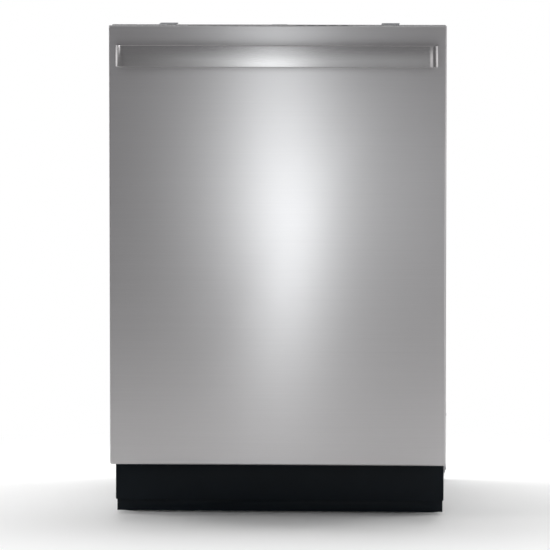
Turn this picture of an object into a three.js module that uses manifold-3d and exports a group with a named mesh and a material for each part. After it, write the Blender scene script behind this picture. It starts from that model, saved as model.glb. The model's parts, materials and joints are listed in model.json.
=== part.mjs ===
// Built-in dishwasher with a hidden control strip, a flat bow handle and a recessed toe space.
// Millimetres, +Z up, front towards -Y, origin on the floor at the middle of the footprint.
import * as THREE from "three";
import { mergeVertices } from "three/addons/utils/BufferGeometryUtils.js";
import Module from "manifold-3d";

const wasm = await Module();
wasm.setup();

// ---------------------------------------------------------------- driving dimensions
const seat = 0.3; // running or seating clearance between two pieces

// Overall and door
const overallDepth = 638;
const doorWidth = 605;
const doorHeight = 792;
const doorBottom = 97;
const doorDepth = 52; // outer face to the sealing plane of the liner
const doorSheet = 1.2;
const doorEdgeRadius = 3;
const doorReturn = 26; // depth of the folded side and bottom returns
const linerInset = 2.5; // liner's sides inside the outer panel's
const pivotBehindFace = 28;
const pivotAboveDoorBottom = 26;

// Handle
const handleInset = 14; // end of the handle to the edge of the door
const handleHeight = 39;
const handleReach = 46;
const handleThickness = 6;
const handleBend = 16;
const handleBelowTop = 33;

// Control strip
const consoleHeight = 28.2;
const consoleBelowTop = 0.5;
const buttonCount = 5;
const buttonPitch = 20;
const buttonWidth = 15;
const buttonDepth = 12;
const buttonTravel = 0.8;
const firstButtonX = 39.5;
const controlsBehindFace = 17; // middle of keys and display behind the outer face
const displayWidth = 88;
const displayDepth = 14;
const displayMiddleX = -117;
const firstLampX = 182;
const lampPitch = 21;
const pawlPocketHalf = 9;

// Tub
const doorOverhang = 11.5; // door beyond the frame and the tub flange on each side
const tubSheet = 2;
const flangeWidth = 11;
const flangeTopWidth = 20;
const flangeBelowDoorTop = 21;
const ledgeZ = 148; // floor strips on which the rack wheels roll
const ledgeWidth = 64;
const basinBehindLiner = 71;
const basinBeforeBack = 41;
const basinSlope = 16;
const tubBackSpace = 16; // tub's back wall to the rear of the machine
const sealGap = 6; // liner to tub flange, filled by the gasket
const gasketWidth = 8;
const insulationThickness = 10;
const bracketInset = 91;

// Base
const frameSheet = 3;
const frameBottom = 24;
const frameFlange = 26;
const frontRailHeight = 46;
const toeRecess = 75; // access panel behind the door face
const toeInset = 5; // toe space panels inside the door's sides
const toeSkin = 1.5;
const doorToAccess = 5; // access panel's top below the door
const railBehindAccess = 8;
const legInset = 19;
const legBehindRail = 30;
const legBeforeBack = 29;
const footRadius = 16;
const legRadius = 5;
const springAnchorBehindPivot = 205;
const springAnchorAboveFrame = 36;

// Sump, filters and spray arms
const wellBehindMiddle = 4; // middle of the sump and of every spray arm behind the basin's middle
const sumpRadius = 122;
const sumpWall = 3;
const sumpDepth = 62;
const pumpAboveSumpFloor = 24;
const voluteRadius = 36;
const motorRadius = 28;
const riserRadius = 15;
const riserAboveLedge = 2;
const filterX = 72;
const filterBeforeWell = 30;
const filterRadius = 30;
const heaterToBasin = 27; // ring to the basin's back edge
const heaterRod = 4;
const heaterOpening = 0.21; // half angle left open at the back of the heater ring, radians
const floatFromBasinSide = 49;
const floatFromBasinFront = 55;
const floatRadius = 18;
const floatStem = 4;
const lowerArmToBasin = 12; // tip of the lower arm to the basin's back edge
const upperArmReach = 190;
const ceilingTubeDrop = 14;
const feedHalfWidth = 14;
const feedHalfDepth = 6;
const manifoldBelowRack = 18;
const manifoldHub = 10; // hub's lower face below the manifold's axis
const upperArmHeight = 15;

// Racks
const wire = 2.4; // wire radius
const wireSides = 4;
const wireFlat = wire * Math.SQRT1_2; // half thickness of the square section
const longOverCross = wire * 1.25; // the lengthwise wires are welded on top of the cross wires
const crossWires = 6;
const longWires = 5;
const rackBehindLiner = 25;
const rackBeforeBack = 25;
const rackSideGap = 28; // rim to the tub's side wall
const rackSideSlope = 12; // rim beyond the floor on each side
const upperFloorZ = 480;
const upperRackHeight = 120;
const lowerFloorAboveLedge = 38;
const lowerRackHeight = 104;
const rackCorner = 36; // chamfer under the front of each rack
const trackBelowRim = 40;
const trackFlange = 9; // web to the edge of each flange
const trackSideGap = 2;
const trackSheet = 1.5;
const trackChannel = 12; // half height inside the channel
const trackShoe = 32;
const shoesBeforeBack = [212, 46];
const rollersBehindFlange = [50, 200];
const wheelRadius = 19;
const wheelWidth = 15;
const wheelsBehindWires = [12.96, 27.04]; // axles behind the second and the fifth cross wire
const wheelBracketHalf = 40; // long enough to clip on the nearest cross wires
const axleRadius = 4;
const basketHalf = 105;
const basketBehindRack = 39;
const basketDepth = 70;
const basketHeight = 98;
const basketWall = 2;
const basketCells = 4;
const basketSlot = 9; // width of the slots in the basket's walls and floor
const basketRib = 8; // walls left between the two rows of slots, and above and below them
const upperTineHeight = 58;
const upperTineX = 130;
const upperTineLean = 10;
const tineHeight = 68;
const tineRod = 2;
const tineRowX = 70;
const leftTineX = -150;
const rightTineX = 160;
const shelfAboveTrack = 15;
const shelfBehindRack = 76;
const shelfReach = 86;
const shelfLength = 220;
const shelfRod = 3;

// Dispenser on the liner
const dispenserLeft = -120;
const dispenserRight = 80;
const dispenserAboveDoorBottom = 333;
const dispenserHeight = 130;
const dispenserRim = 8;
const cupFromLeft = 15;
const cupWidth = 66;
const cupFromBottom = 27;
const cupHeight = 76;
const capFromRight = 18;
const capFromBottom = 40;
const capRadius = 15.5;

// ---------------------------------------------------------------- derived places
const handleFront = -overallDepth / 2;
const backY = overallDepth / 2;
const faceY = handleFront + handleReach;
const linerY = faceY + doorDepth;
const flangeY = linerY + sealGap;
const doorHalf = doorWidth / 2;
const doorTop = doorBottom + doorHeight;
const pivotY = faceY + pivotBehindFace;
const pivotZ = doorBottom + pivotAboveDoorBottom;
const handleLength = doorWidth - handleInset * 2;
const consoleTop = doorTop - consoleBelowTop;
const consoleBottom = consoleTop - consoleHeight;
const frameHalf = doorHalf - doorOverhang;
const flangeHalf = frameHalf;
const tubOuterHalf = flangeHalf - flangeWidth;
const tubInnerHalf = tubOuterHalf - tubSheet;
const tubBack = backY - tubBackSpace;
const bracketX = flangeHalf - bracketInset;
const flangeTop = doorTop - flangeBelowDoorTop;
const tubOuterTop = flangeTop - flangeTopWidth;
const tubInnerTop = tubOuterTop - tubSheet;
const tubOuterFloor = ledgeZ - tubSheet;
const basinZ = ledgeZ - basinSlope;
const basinHalf = tubInnerHalf - ledgeWidth;
const basinFront = linerY + basinBehindLiner;
const basinBack = tubBack - basinBeforeBack;
const frameTop = tubOuterFloor - seat;
const accessFront = faceY + toeRecess;
const railFront = accessFront + railBehindAccess;
const accessTop = doorBottom - doorToAccess;
const toeHalf = doorHalf - toeInset;
const legSide = frameHalf - legInset;
const legFrontY = railFront + legBehindRail;
const legBackY = backY - legBeforeBack;
const wellY = (basinFront + basinBack) / 2 + wellBehindMiddle;
const sumpBottom = basinZ - sumpDepth;
const pumpZ = sumpBottom + pumpAboveSumpFloor;
const riserTop = ledgeZ + riserAboveLedge;
const filterY = wellY - filterBeforeWell;
const lowerArmReach = basinBack - wellY - lowerArmToBasin;
const floatX = -basinHalf + floatFromBasinSide;
const floatY = basinFront + floatFromBasinFront;
const heaterRadius = basinBack - wellY - heaterToBasin;
const heaterEnds = [-1, 1].map((side) => [
  side * heaterRadius * Math.sin(heaterOpening),
  wellY + heaterRadius * Math.cos(heaterOpening),
]);
const ceilingTubeZ = tubInnerTop - ceilingTubeDrop;
const manifoldZ = upperFloorZ - manifoldBelowRack;
const rackFront = linerY + rackBehindLiner;
const rackBack = tubBack - rackBeforeBack;
const rackRimHalf = tubInnerHalf - rackSideGap;
const rackFloorHalf = rackRimHalf - rackSideSlope;
const upperRimZ = upperFloorZ + upperRackHeight;
const lowerFloorZ = ledgeZ + lowerFloorAboveLedge;
const lowerRimZ = lowerFloorZ + lowerRackHeight;
const trackZ = upperRimZ - trackBelowRim;
const trackOuter = tubInnerHalf - trackSideGap;
const trackWeb = trackOuter - trackFlange;
const trackInner = trackWeb - trackFlange;
const trackFront = rackFront + 6;
const trackBack = rackBack - 8;
const rollerPlaces = rollersBehindFlange.map((y) => flangeY + y);
const wheelInner = rackRimHalf;
const wheelZ = ledgeZ + seat + wheelRadius;
const basketFront = rackFront + basketBehindRack;
const basketZ = lowerFloorZ + longOverCross + wireFlat + seat;
const foldingTineZ = lowerFloorZ + longOverCross + wireFlat + seat + tineRod;
const dockY = rackBack - 2; // where the upper rack's manifold meets the feed tube
const crossWireY = (i) => {
  const first = rackFront + wire + rackCorner;
  const last = rackBack - wire - 20;
  return first + ((last - first) * i) / (crossWires - 1);
};
const wheelPlaces = [crossWireY(1) + wheelsBehindWires[0], crossWireY(4) + wheelsBehindWires[1]];
const dispenserBottom = doorBottom + dispenserAboveDoorBottom;
const dispenserTop = dispenserBottom + dispenserHeight;
const cupLeft = dispenserLeft + cupFromLeft;
const cupBottom = dispenserBottom + cupFromBottom;
const capX = dispenserRight - capFromRight;
const capZ = dispenserBottom + capFromBottom;

// ---------------------------------------------------------------- shape helpers
function solidFrom(geometry) {
  const bare = geometry.index ? geometry.toNonIndexed() : geometry.clone();
  bare.deleteAttribute("normal");
  bare.deleteAttribute("uv");
  const merged = mergeVertices(bare, 1e-4);
  return new wasm.Manifold(
    new wasm.Mesh({
      numProp: 3,
      vertProperties: new Float32Array(merged.attributes.position.array),
      triVerts: new Uint32Array(merged.index.array),
    }),
  );
}

function geometryFrom(solid) {
  const { numProp, vertProperties, triVerts } = solid.getMesh();
  const points = [];
  for (let i = 0; i < vertProperties.length; i += numProp) {
    points.push(vertProperties[i], vertProperties[i + 1], vertProperties[i + 2]);
  }
  const geometry = new THREE.BufferGeometry();
  geometry.setAttribute("position", new THREE.Float32BufferAttribute(points, 3));
  geometry.setIndex(Array.from(triVerts));
  geometry.computeVertexNormals();
  return geometry;
}

const join = (first, ...rest) => rest.reduce((whole, piece) => whole.add(piece), first);
const cut = (first, ...rest) => rest.reduce((whole, piece) => whole.subtract(piece), first);

function mirrored(solid) {
  const geometry = geometryFrom(solid);
  geometry.scale(-1, 1, 1);
  const index = geometry.index.array;
  for (let i = 0; i < index.length; i += 3) [index[i], index[i + 1]] = [index[i + 1], index[i]];
  return solidFrom(geometry);
}

function block(x0, x1, y0, y1, z0, z1) {
  const geometry = new THREE.BoxGeometry(x1 - x0, y1 - y0, z1 - z0);
  geometry.translate((x0 + x1) / 2, (y0 + y1) / 2, (z0 + z1) / 2);
  return solidFrom(geometry);
}

// Straight round bar between two points.
function rod(from, to, radius, sides = 6) {
  const start = new THREE.Vector3(...from);
  const along = new THREE.Vector3(...to).sub(start);
  const flatSide = Math.PI / sides;
  const geometry = new THREE.CylinderGeometry(radius, radius, along.length(), sides, 1, false, flatSide);
  const up = new THREE.Vector3(0, 1, 0);
  const turn = new THREE.Quaternion().setFromUnitVectors(up, along.clone().normalize());
  geometry.applyQuaternion(turn);
  geometry.translate(start.x + along.x / 2, start.y + along.y / 2, start.z + along.z / 2);
  return solidFrom(geometry);
}

// Path of straight runs whose bends fall on the sweep's own steps.
class BentPath extends THREE.Curve {
  constructor(points) {
    super();
    this.knots = points.map((point) => new THREE.Vector3(...point));
  }

  getPoint(t, target = new THREE.Vector3()) {
    const runs = this.knots.length - 1;
    const run = Math.min(Math.floor(t * runs + 1e-9), runs - 1);
    return target.lerpVectors(this.knots[run], this.knots[run + 1], t * runs - run);
  }

  getPointAt(u, target) {
    return this.getPoint(u, target);
  }

  getTangentAt(u, target) {
    return this.getTangent(u, target);
  }
}

// Wire bent through the given points.
function bentRod(points, radius, sides = wireSides) {
  const section = new THREE.Shape();
  for (let i = 0; i < sides; i += 1) {
    const turn = (Math.PI * 2 * (i + 0.5)) / sides;
    const step = i === 0 ? "moveTo" : "lineTo";
    section[step](radius * Math.cos(turn), radius * Math.sin(turn));
  }
  const extrudePath = new BentPath(points);
  const steps = points.length - 1;
  return solidFrom(new THREE.ExtrudeGeometry(section, { steps, bevelEnabled: false, extrudePath }));
}

// Outline extruded along an axis. X outlines are drawn in (y, z), Y in (x, z), Z in (x, y).
function prism(shape, axis, from, to, options = {}) {
  const geometry = new THREE.ExtrudeGeometry(shape, {
    depth: to - from,
    bevelEnabled: false,
    curveSegments: 2,
    ...options,
  });
  if (axis === "x") geometry.rotateX(Math.PI / 2).rotateZ(Math.PI / 2).translate(from, 0, 0);
  if (axis === "y") geometry.rotateX(Math.PI / 2).translate(0, to, 0);
  if (axis === "z") geometry.translate(0, 0, from);
  return solidFrom(geometry);
}

// Rectangle with rounded corners: lower pair and upper pair of radii.
function roundedRect(x0, x1, y0, y1, lower, upper = lower) {
  const shape = new THREE.Shape();
  shape.moveTo(x0 + lower, y0);
  shape.lineTo(x1 - lower, y0);
  shape.absarc(x1 - lower, y0 + lower, lower, -Math.PI / 2, 0);
  shape.lineTo(x1, y1 - upper);
  shape.absarc(x1 - upper, y1 - upper, upper, 0, Math.PI / 2);
  shape.lineTo(x0 + upper, y1);
  shape.absarc(x0 + upper, y1 - upper, upper, Math.PI / 2, Math.PI);
  shape.lineTo(x0, y0 + lower);
  shape.absarc(x0 + lower, y0 + lower, lower, Math.PI, Math.PI * 1.5);
  return shape;
}

function polygon(points) {
  return new THREE.Shape(points.map(([x, y]) => new THREE.Vector2(x, y)));
}

// Turned part about a vertical axis at (x, y).
function turned(profile, x, y, sides = 32) {
  const geometry = new THREE.LatheGeometry(profile.map(([r, z]) => new THREE.Vector2(r, z)), sides);
  geometry.rotateX(Math.PI / 2);
  geometry.translate(x, y, 0);
  return solidFrom(geometry);
}

// Turned part about a level axis that starts at a point and runs towards +X.
function spun(profile, x, y, z, sides) {
  const geometry = new THREE.LatheGeometry(profile.map(([r, along]) => new THREE.Vector2(r, along)), sides);
  geometry.rotateZ(-Math.PI / 2);
  geometry.translate(x, y, z);
  return solidFrom(geometry);
}

// ---------------------------------------------------------------- scene
const dishwasher = new THREE.Group();
const door = new THREE.Group();
const upperRack = new THREE.Group();
const lowerRack = new THREE.Group();
dishwasher.add(door, upperRack, lowerRack);

function addPiece(group, name, solid, finish, place = [0, 0, 0]) {
  const mesh = new THREE.Mesh(geometryFrom(solid), new THREE.MeshStandardMaterial(finish));
  mesh.name = name;
  mesh.position.set(...place);
  group.add(mesh);
}

const brushedSteel = { color: 0xb4b2ae, roughness: 0.32, metalness: 1 };
const tubSteel = { color: 0xc4c5c6, roughness: 0.28, metalness: 1 };
const zincSteel = { color: 0x9a9c9e, roughness: 0.45, metalness: 0.9 };
const blackPlastic = { color: 0x14181c, roughness: 0.5, metalness: 0 };
const greyPlastic = { color: 0x6d7074, roughness: 0.5, metalness: 0 };
const paleGreyPlastic = { color: 0xb9bcbf, roughness: 0.45, metalness: 0 };
const darkGlass = { color: 0x0b0d10, roughness: 0.08, metalness: 0 };
const blackRubber = { color: 0x1d1e20, roughness: 0.8, metalness: 0 };
const feltGrey = { color: 0x4a4b4d, roughness: 0.95, metalness: 0 };
const rackNylon = { color: 0x8d9196, roughness: 0.4, metalness: 0 };
const bluePlastic = { color: 0x3f6f9e, roughness: 0.45, metalness: 0 };

// ---------------------------------------------------------------- tub and its surround
function tubShell() {
  const floorRadius = 8;
  const ceilingRadius = 24;
  const outline = (half, floor, top, grow) =>
    roundedRect(-half, half, floor, top, floorRadius + grow, ceilingRadius + grow);
  const basin = (grow) =>
    prism(
      roundedRect(
        -basinHalf + basinSlope - grow,
        basinHalf - basinSlope + grow,
        basinFront + basinSlope - grow,
        basinBack - basinSlope + grow,
        20,
      ),
      "z",
      basinZ - grow + basinSlope,
      basinZ - grow + basinSlope * 2,
      { bevelEnabled: true, bevelSize: basinSlope, bevelThickness: basinSlope, bevelSegments: 1 },
    );
  const flange = roundedRect(-flangeHalf, flangeHalf, tubOuterFloor, flangeTop, 4, 8);
  const outer = join(
    prism(outline(tubOuterHalf, tubOuterFloor, tubOuterTop, tubSheet), "y", flangeY, tubBack + tubSheet),
    prism(flange, "y", flangeY, flangeY + tubSheet),
    basin(tubSheet),
  );
  const studs = [];
  const studEnd = trackWeb + 2.5;
  for (const side of [-1, 1]) {
    for (const y of rollerPlaces) {
      studs.push(rod([side * tubOuterHalf, y, trackZ], [side * studEnd, y, trackZ], axleRadius - seat, 12));
    }
  }
  const hollow = join(
    prism(outline(tubInnerHalf, ledgeZ, tubInnerTop, 0), "y", flangeY - 1, tubBack),
    basin(0),
  );
  const sumpHole = rod([0, wellY, basinZ - 20], [0, wellY, basinZ + 1], sumpRadius, 24);
  const holes = heaterEnds.map(([x, y]) => rod([x, y, basinZ - 20], [x, y, basinZ + 1], heaterRod + seat, 8));
  holes.push(rod([floatX, floatY, basinZ - 20], [floatX, floatY, basinZ + 1], floatStem + 1, 10));
  return join(cut(outer, hollow, sumpHole, ...holes), ...studs);
}

function insulationBlanket() {
  const grow = insulationThickness;
  const inside = tubOuterHalf + seat;
  const shell = prism(
    roundedRect(-inside - grow, inside + grow, tubOuterFloor - 20, tubOuterTop + seat + grow, 10, 30),
    "y",
    flangeY + 12,
    tubBack + tubSheet + seat + grow,
  );
  const tubSpace = prism(
    roundedRect(-inside, inside, tubOuterFloor - 40, tubOuterTop + seat, 10, 26 + seat),
    "y",
    flangeY,
    tubBack + tubSheet + seat,
  );
  const open = block(-flangeHalf, flangeHalf, flangeY, backY, tubOuterFloor - 40, tubOuterFloor + 6);
  return cut(shell, tubSpace, open);
}

function doorGasket() {
  const inner = tubOuterHalf + 1;
  const outer = inner + gasketWidth;
  const innerTop = tubOuterTop + 1.5;
  const front = linerY + seat;
  const back = flangeY - seat;
  const lower = tubOuterFloor + 6;
  const ring = cut(
    prism(roundedRect(-outer, outer, lower - 30, innerTop + gasketWidth, 4, 18), "y", front, back),
    prism(roundedRect(-inner, inner, lower - 40, innerTop, 4, 12), "y", front - 1, back + 1),
    block(-outer - 1, outer + 1, front - 1, back + 1, lower - 50, lower),
  );
  return ring;
}

addPiece(dishwasher, "tub", tubShell(), tubSteel);
addPiece(dishwasher, "tub_insulation", insulationBlanket(), feltGrey);
addPiece(dishwasher, "door_gasket", doorGasket(), blackRubber);

// ---------------------------------------------------------------- base frame, toe space and legs
const springAnchor = [pivotY + springAnchorBehindPivot, frameBottom + springAnchorAboveFrame];
const springX = frameHalf + 4.5;

function baseFrame() {
  const plateInner = frameHalf - frameSheet;
  const earRadius = 14;
  const earStripBottom = pivotZ + 2;
  const railHalf = frameHalf - 1;
  const side = join(
    block(plateInner, frameHalf, railFront, backY, frameBottom, frameTop),
    block(plateInner, frameHalf, pivotY + 4, railFront, earStripBottom, frameTop),
    rod([plateInner, pivotY, pivotZ], [frameHalf, pivotY, pivotZ], earRadius, 18),
    rod([plateInner, pivotY, pivotZ], [frameHalf + 7, pivotY, pivotZ], axleRadius, 16),
    rod([plateInner, ...springAnchor], [frameHalf + 6, ...springAnchor], 3, 12),
    block(plateInner - frameFlange, frameHalf, flangeY + 10, backY, frameTop - 2, frameTop),
    block(plateInner - frameFlange, frameHalf, railFront, backY, frameBottom, frameBottom + 2),
  );
  const whole = join(
    side,
    mirrored(side),
    block(-railHalf, railHalf, railFront, railFront + frameSheet, frameBottom, frameBottom + frontRailHeight),
    block(-railHalf, railHalf, backY - frameSheet, backY, frameBottom, frameTop),
  );
  const holes = [];
  for (const x of [-legSide, legSide]) {
    for (const y of [legFrontY, legBackY]) {
      holes.push(rod([x, y, frameBottom - 1], [x, y, frameBottom + 3], legRadius + seat, 12));
    }
    const plate = Math.sign(x) * (frameHalf - frameSheet / 2);
    const window = roundedRect(legBackY - 250, legBackY - 40, frameBottom + 22, frameTop - 30, 12);
    holes.push(prism(window, "x", plate - 4, plate + 4));
  }
  const rearHalf = frameHalf - 71;
  const rearWindow = roundedRect(-rearHalf, rearHalf, frameBottom + 22, frameTop - 24, 12);
  holes.push(prism(rearWindow, "y", backY - 8, backY + 1));
  return cut(whole, ...holes);
}

function levelingLeg() {
  const collarTop = frameBottom - seat;
  return turned(
    [
      [0, 0],
      [footRadius - 2, 0],
      [footRadius, 2],
      [footRadius, 4],
      [9, 7],
      [9, collarTop],
      [legRadius, collarTop],
      [legRadius, 62],
      [legRadius - 1, 63],
      [0, 63],
    ],
    0,
    0,
    12,
  );
}

function accessPanel() {
  const front = accessFront;
  const back = railFront - 2.1;
  const skin = toeSkin;
  return cut(
    prism(roundedRect(-toeHalf, toeHalf, frameBottom, accessTop, 2), "y", front, back),
    block(-toeHalf + skin, toeHalf - skin, front + skin, back + 1, frameBottom + skin, accessTop - skin),
  );
}

function toePanel() {
  const back = railFront - seat;
  const top = frameBottom + 30;
  const outerSlot = toeHalf - 67.5;
  const plate = block(-toeHalf + 2, toeHalf - 2, back - toeSkin, back, 3, top);
  const slot = (x) => prism(roundedRect(x - 3, x + 3, top - 24, top - 8, 3), "y", back - 3, back + 1);
  const slots = [-outerSlot, 0, outerSlot].map(slot);
  return cut(plate, ...slots);
}

addPiece(dishwasher, "base_frame", baseFrame(), zincSteel);
addPiece(dishwasher, "access_panel", accessPanel(), blackPlastic);
addPiece(dishwasher, "toe_panel", toePanel(), blackPlastic);
for (const [end, y] of [["front", legFrontY], ["back", legBackY]]) {
  for (const [side, x] of [["left", -legSide], ["right", legSide]]) {
    addPiece(dishwasher, `leveling_leg_${end}_${side}`, levelingLeg(), zincSteel, [x, y, 0]);
  }
}

// ---------------------------------------------------------------- sump, pumps, heater and filters
function sumpHousing() {
  const outside = sumpRadius + sumpWall;
  const lip = basinZ - tubSheet - seat;
  const bowl = turned(
    [
      [0, sumpBottom],
      [outside, sumpBottom],
      [outside, lip - 3],
      [outside + 9, lip - 3],
      [outside + 9, lip],
      [sumpRadius, lip],
      [sumpRadius, sumpBottom + sumpWall],
      [riserRadius, sumpBottom + sumpWall],
      [riserRadius, riserTop],
      [riserRadius - sumpWall, riserTop],
      [riserRadius - sumpWall, sumpBottom + 6],
      [0, sumpBottom + 6],
    ],
    0,
    wellY,
    24,
  );
  return join(
    bowl,
    rod([sumpRadius - 2, wellY, pumpZ], [sumpRadius + 12, wellY, pumpZ], 18, 12),
    rod([-sumpRadius + 2, wellY, pumpZ], [-sumpRadius - 12, wellY, pumpZ], 13, 12),
  );
}

function washMotor() {
  const start = sumpRadius + 12 + seat;
  const z = pumpZ - 8;
  const core = motorRadius + 3;
  const coreShape = roundedRect(wellY - core, wellY + core, z - core, z + core, 9);
  const body = spun(
    [
      [0, 0],
      [voluteRadius, 0],
      [voluteRadius, 24],
      [voluteRadius - 5, 30],
      [20, 33],
      [20, 38],
      [motorRadius - 4, 40],
      [motorRadius, 45],
      [motorRadius, 88],
      [motorRadius - 5, 98],
      [14, 104],
      [11, 114],
      [0, 114],
    ],
    start,
    wellY,
    z,
    16,
  );
  return join(
    body,
    prism(coreShape, "x", start + 54, start + 80),
    block(start + 46, start + 88, wellY - 8, wellY + 8, z - 40, z - 20),
  );
}

function drainPump() {
  const start = -sumpRadius - 12 - seat;
  const z = pumpZ;
  return join(
    rod([start, wellY, z], [start - 24, wellY, z], 26, 16),
    rod([start - 22, wellY, z], [start - 66, wellY, z], 21, 16),
    rod([start - 12, wellY, z - 14], [start - 12, wellY + 58, z - 14], 9, 10),
    ...[42, 50].map((y) => rod([start - 12, wellY + y, z - 14], [start - 12, wellY + y + 4, z - 14], 10.5, 10)),
    block(start - 54, start - 34, wellY - 25, wellY + 25, z - 12, z + 27),
  );
}

function heatingElement() {
  const points = [];
  const steps = 24;
  const ringZ = basinZ + 12;
  const open = heaterOpening;
  for (let i = 0; i <= steps; i += 1) {
    const turn = open + ((Math.PI * 2 - open * 2) * i) / steps;
    const x = heaterRadius * Math.sin(turn);
    points.push(new THREE.Vector3(x, wellY + heaterRadius * Math.cos(turn), ringZ));
  }
  const outline = new THREE.Shape();
  outline.absarc(0, 0, heaterRod, 0, Math.PI * 2);
  const ring = solidFrom(
    new THREE.ExtrudeGeometry(outline, {
      steps,
      curveSegments: 3,
      bevelEnabled: false,
      extrudePath: new THREE.CatmullRomCurve3(points),
    }),
  );
  const legs = heaterEnds.flatMap(([x, y]) => [
    rod([x, y, basinZ - 14], [x, y, ringZ + heaterRod * 0.7], heaterRod, 8),
    rod([x, y, basinZ + seat], [x, y, basinZ + 5], heaterRod + 5, 6),
  ]);
  return join(ring, ...legs);
}

function filterPlate() {
  const z = basinZ + seat;
  const plate = rod([0, wellY, z], [0, wellY, z + 2], sumpRadius + 6, 24);
  const rim = cut(
    rod([filterX, filterY, z], [filterX, filterY, z + 4], filterRadius + 5, 16),
    rod([filterX, filterY, z - 1], [filterX, filterY, z + 5], filterRadius + 1, 16),
  );
  const slots = [];
  for (let i = 0; i < 7; i += 1) {
    const turn = (Math.PI * 2 * (i + 3.7)) / 12;
    const near = 40;
    const far = 104;
    const ray = new THREE.Vector2(Math.sin(turn), Math.cos(turn));
    const from = [ray.x * near, wellY + ray.y * near, z + 1];
    const to = [ray.x * far, wellY + ray.y * far, z + 1];
    slots.push(rod(from, to, 3, 4));
  }
  return cut(
    join(plate, rim),
    rod([0, wellY, z - 1], [0, wellY, z + 3], riserRadius + 2, 12),
    rod([filterX, filterY, z - 1], [filterX, filterY, z + 5], filterRadius + 1, 16),
    ...slots,
  );
}

function fineFilter() {
  const rimZ = basinZ + seat + 4 + seat;
  const bottom = sumpBottom + sumpWall + 6;
  const r = filterRadius;
  const cup = turned(
    [
      [0, bottom],
      [r - 4, bottom],
      [r, bottom + 4],
      [r, rimZ],
      [r + 4, rimZ],
      [r + 4, rimZ + 3],
      [r - 2, rimZ + 3],
      [r - 2, bottom + 6],
      [0, bottom + 6],
    ],
    0,
    0,
    18,
  );
  return join(cup, block(-r + 1, r - 1, -2.5, 2.5, rimZ - 12, rimZ + 8));
}

function floatCap() {
  const low = basinZ + seat;
  const r = floatRadius;
  return turned(
    [
      [0, low - 16],
      [floatStem, low - 16],
      [floatStem, low + 12],
      [r - 2, low + 12],
      [r - 2, low],
      [r, low],
      [r, low + 10],
      [r - 3, low + 16],
      [r * 0.55, low + 20],
      [0, low + 21],
    ],
    0,
    0,
    14,
  );
}

addPiece(dishwasher, "sump_housing", sumpHousing(), greyPlastic);
addPiece(dishwasher, "wash_motor", washMotor(), zincSteel);
addPiece(dishwasher, "drain_pump", drainPump(), blackPlastic);
addPiece(dishwasher, "heating_element", heatingElement(), zincSteel);
addPiece(dishwasher, "filter_plate", filterPlate(), tubSteel);
addPiece(dishwasher, "fine_filter", fineFilter(), greyPlastic, [filterX, filterY, 0]);
addPiece(dishwasher, "float_cap", floatCap(), paleGreyPlastic, [floatX, floatY, 0]);

// ---------------------------------------------------------------- water supply and wiring
function inletValve() {
  const x = -frameHalf + 41;
  const y = railFront + frameSheet + seat;
  const z = frameBottom + 10;
  return join(
    block(x, x + 54, y, y + 6, z, z + 28),
    block(x + 6, x + 48, y + 5, y + 40, z + 4, z + 30),
    rod([x + 38, y + 22, z + 26], [x + 38, y + 22, z + 50], 13, 16),
    rod([x + 14, y + 22, z + 16], [x + 14, y + 62, z + 16], 10, 12),
    rod([x + 38, y + 38, z + 16], [x + 38, y + 56, z + 16], 7, 12),
  );
}

function junctionBox() {
  const y = railFront + frameSheet + seat;
  const middleX = frameHalf - 75;
  const middleZ = frameBottom + 25;
  const halfX = 40;
  const halfZ = 19;
  const lap = 2;
  const left = middleX - halfX;
  const right = middleX + halfX;
  const box = prism(roundedRect(left, right, middleZ - halfZ, middleZ + halfZ, 3), "y", y, y + 52);
  const knockOut = rod([middleX, y + 46, middleZ], [middleX, y + 53, middleZ], 11, 20);
  const lid = block(left - lap, right + lap, y, y + lap, middleZ - halfZ - lap, middleZ + halfZ + lap);
  return cut(join(box, lid), knockOut);
}

addPiece(dishwasher, "water_inlet_valve", inletValve(), greyPlastic);
addPiece(dishwasher, "junction_box", junctionBox(), zincSteel);

// ---------------------------------------------------------------- spray system
function sprayFeedTube() {
  const wallY = tubBack - feedHalfDepth - seat;
  const floorZ = basinZ + feedHalfDepth + seat;
  const knots = [
    [wellY + sumpRadius + 10, floorZ],
    [basinBack - 30, floorZ],
    [wallY, ledgeZ + 30],
    [wallY, ceilingTubeZ - 30],
    [wallY - 30, ceilingTubeZ],
    [wellY, ceilingTubeZ],
  ].map(([y, z]) => new THREE.Vector3(0, y, z));
  const runs = [];
  for (let i = 1; i < knots.length; i += 1) {
    const along = knots[i].clone().sub(knots[i - 1]);
    const section = new THREE.Shape();
    section.absellipse(0, 0, feedHalfWidth, feedHalfDepth, 0, Math.PI * 2);
    const options = { depth: along.length() + 4, bevelEnabled: false, curveSegments: 3 };
    const geometry = new THREE.ExtrudeGeometry(section, options);
    geometry.translate(0, 0, -2);
    geometry.rotateX(Math.atan2(-along.y, along.z));
    geometry.translate(0, knots[i - 1].y, knots[i - 1].z);
    runs.push(solidFrom(geometry));
  }
  const port = cut(
    rod([0, wallY, manifoldZ], [0, dockY, manifoldZ], 14, 14),
    rod([0, dockY + 5, manifoldZ], [0, dockY - 1, manifoldZ], 10, 12),
  );
  const rose = turned(
    [
      [0, ceilingTubeZ - 18],
      [22, ceilingTubeZ - 18],
      [30, ceilingTubeZ - 13],
      [30, ceilingTubeZ - 10],
      [12, ceilingTubeZ - 5],
      [12, ceilingTubeZ],
      [0, ceilingTubeZ],
    ],
    0,
    wellY,
    16,
  );
  return join(...runs, port, rose);
}

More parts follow.
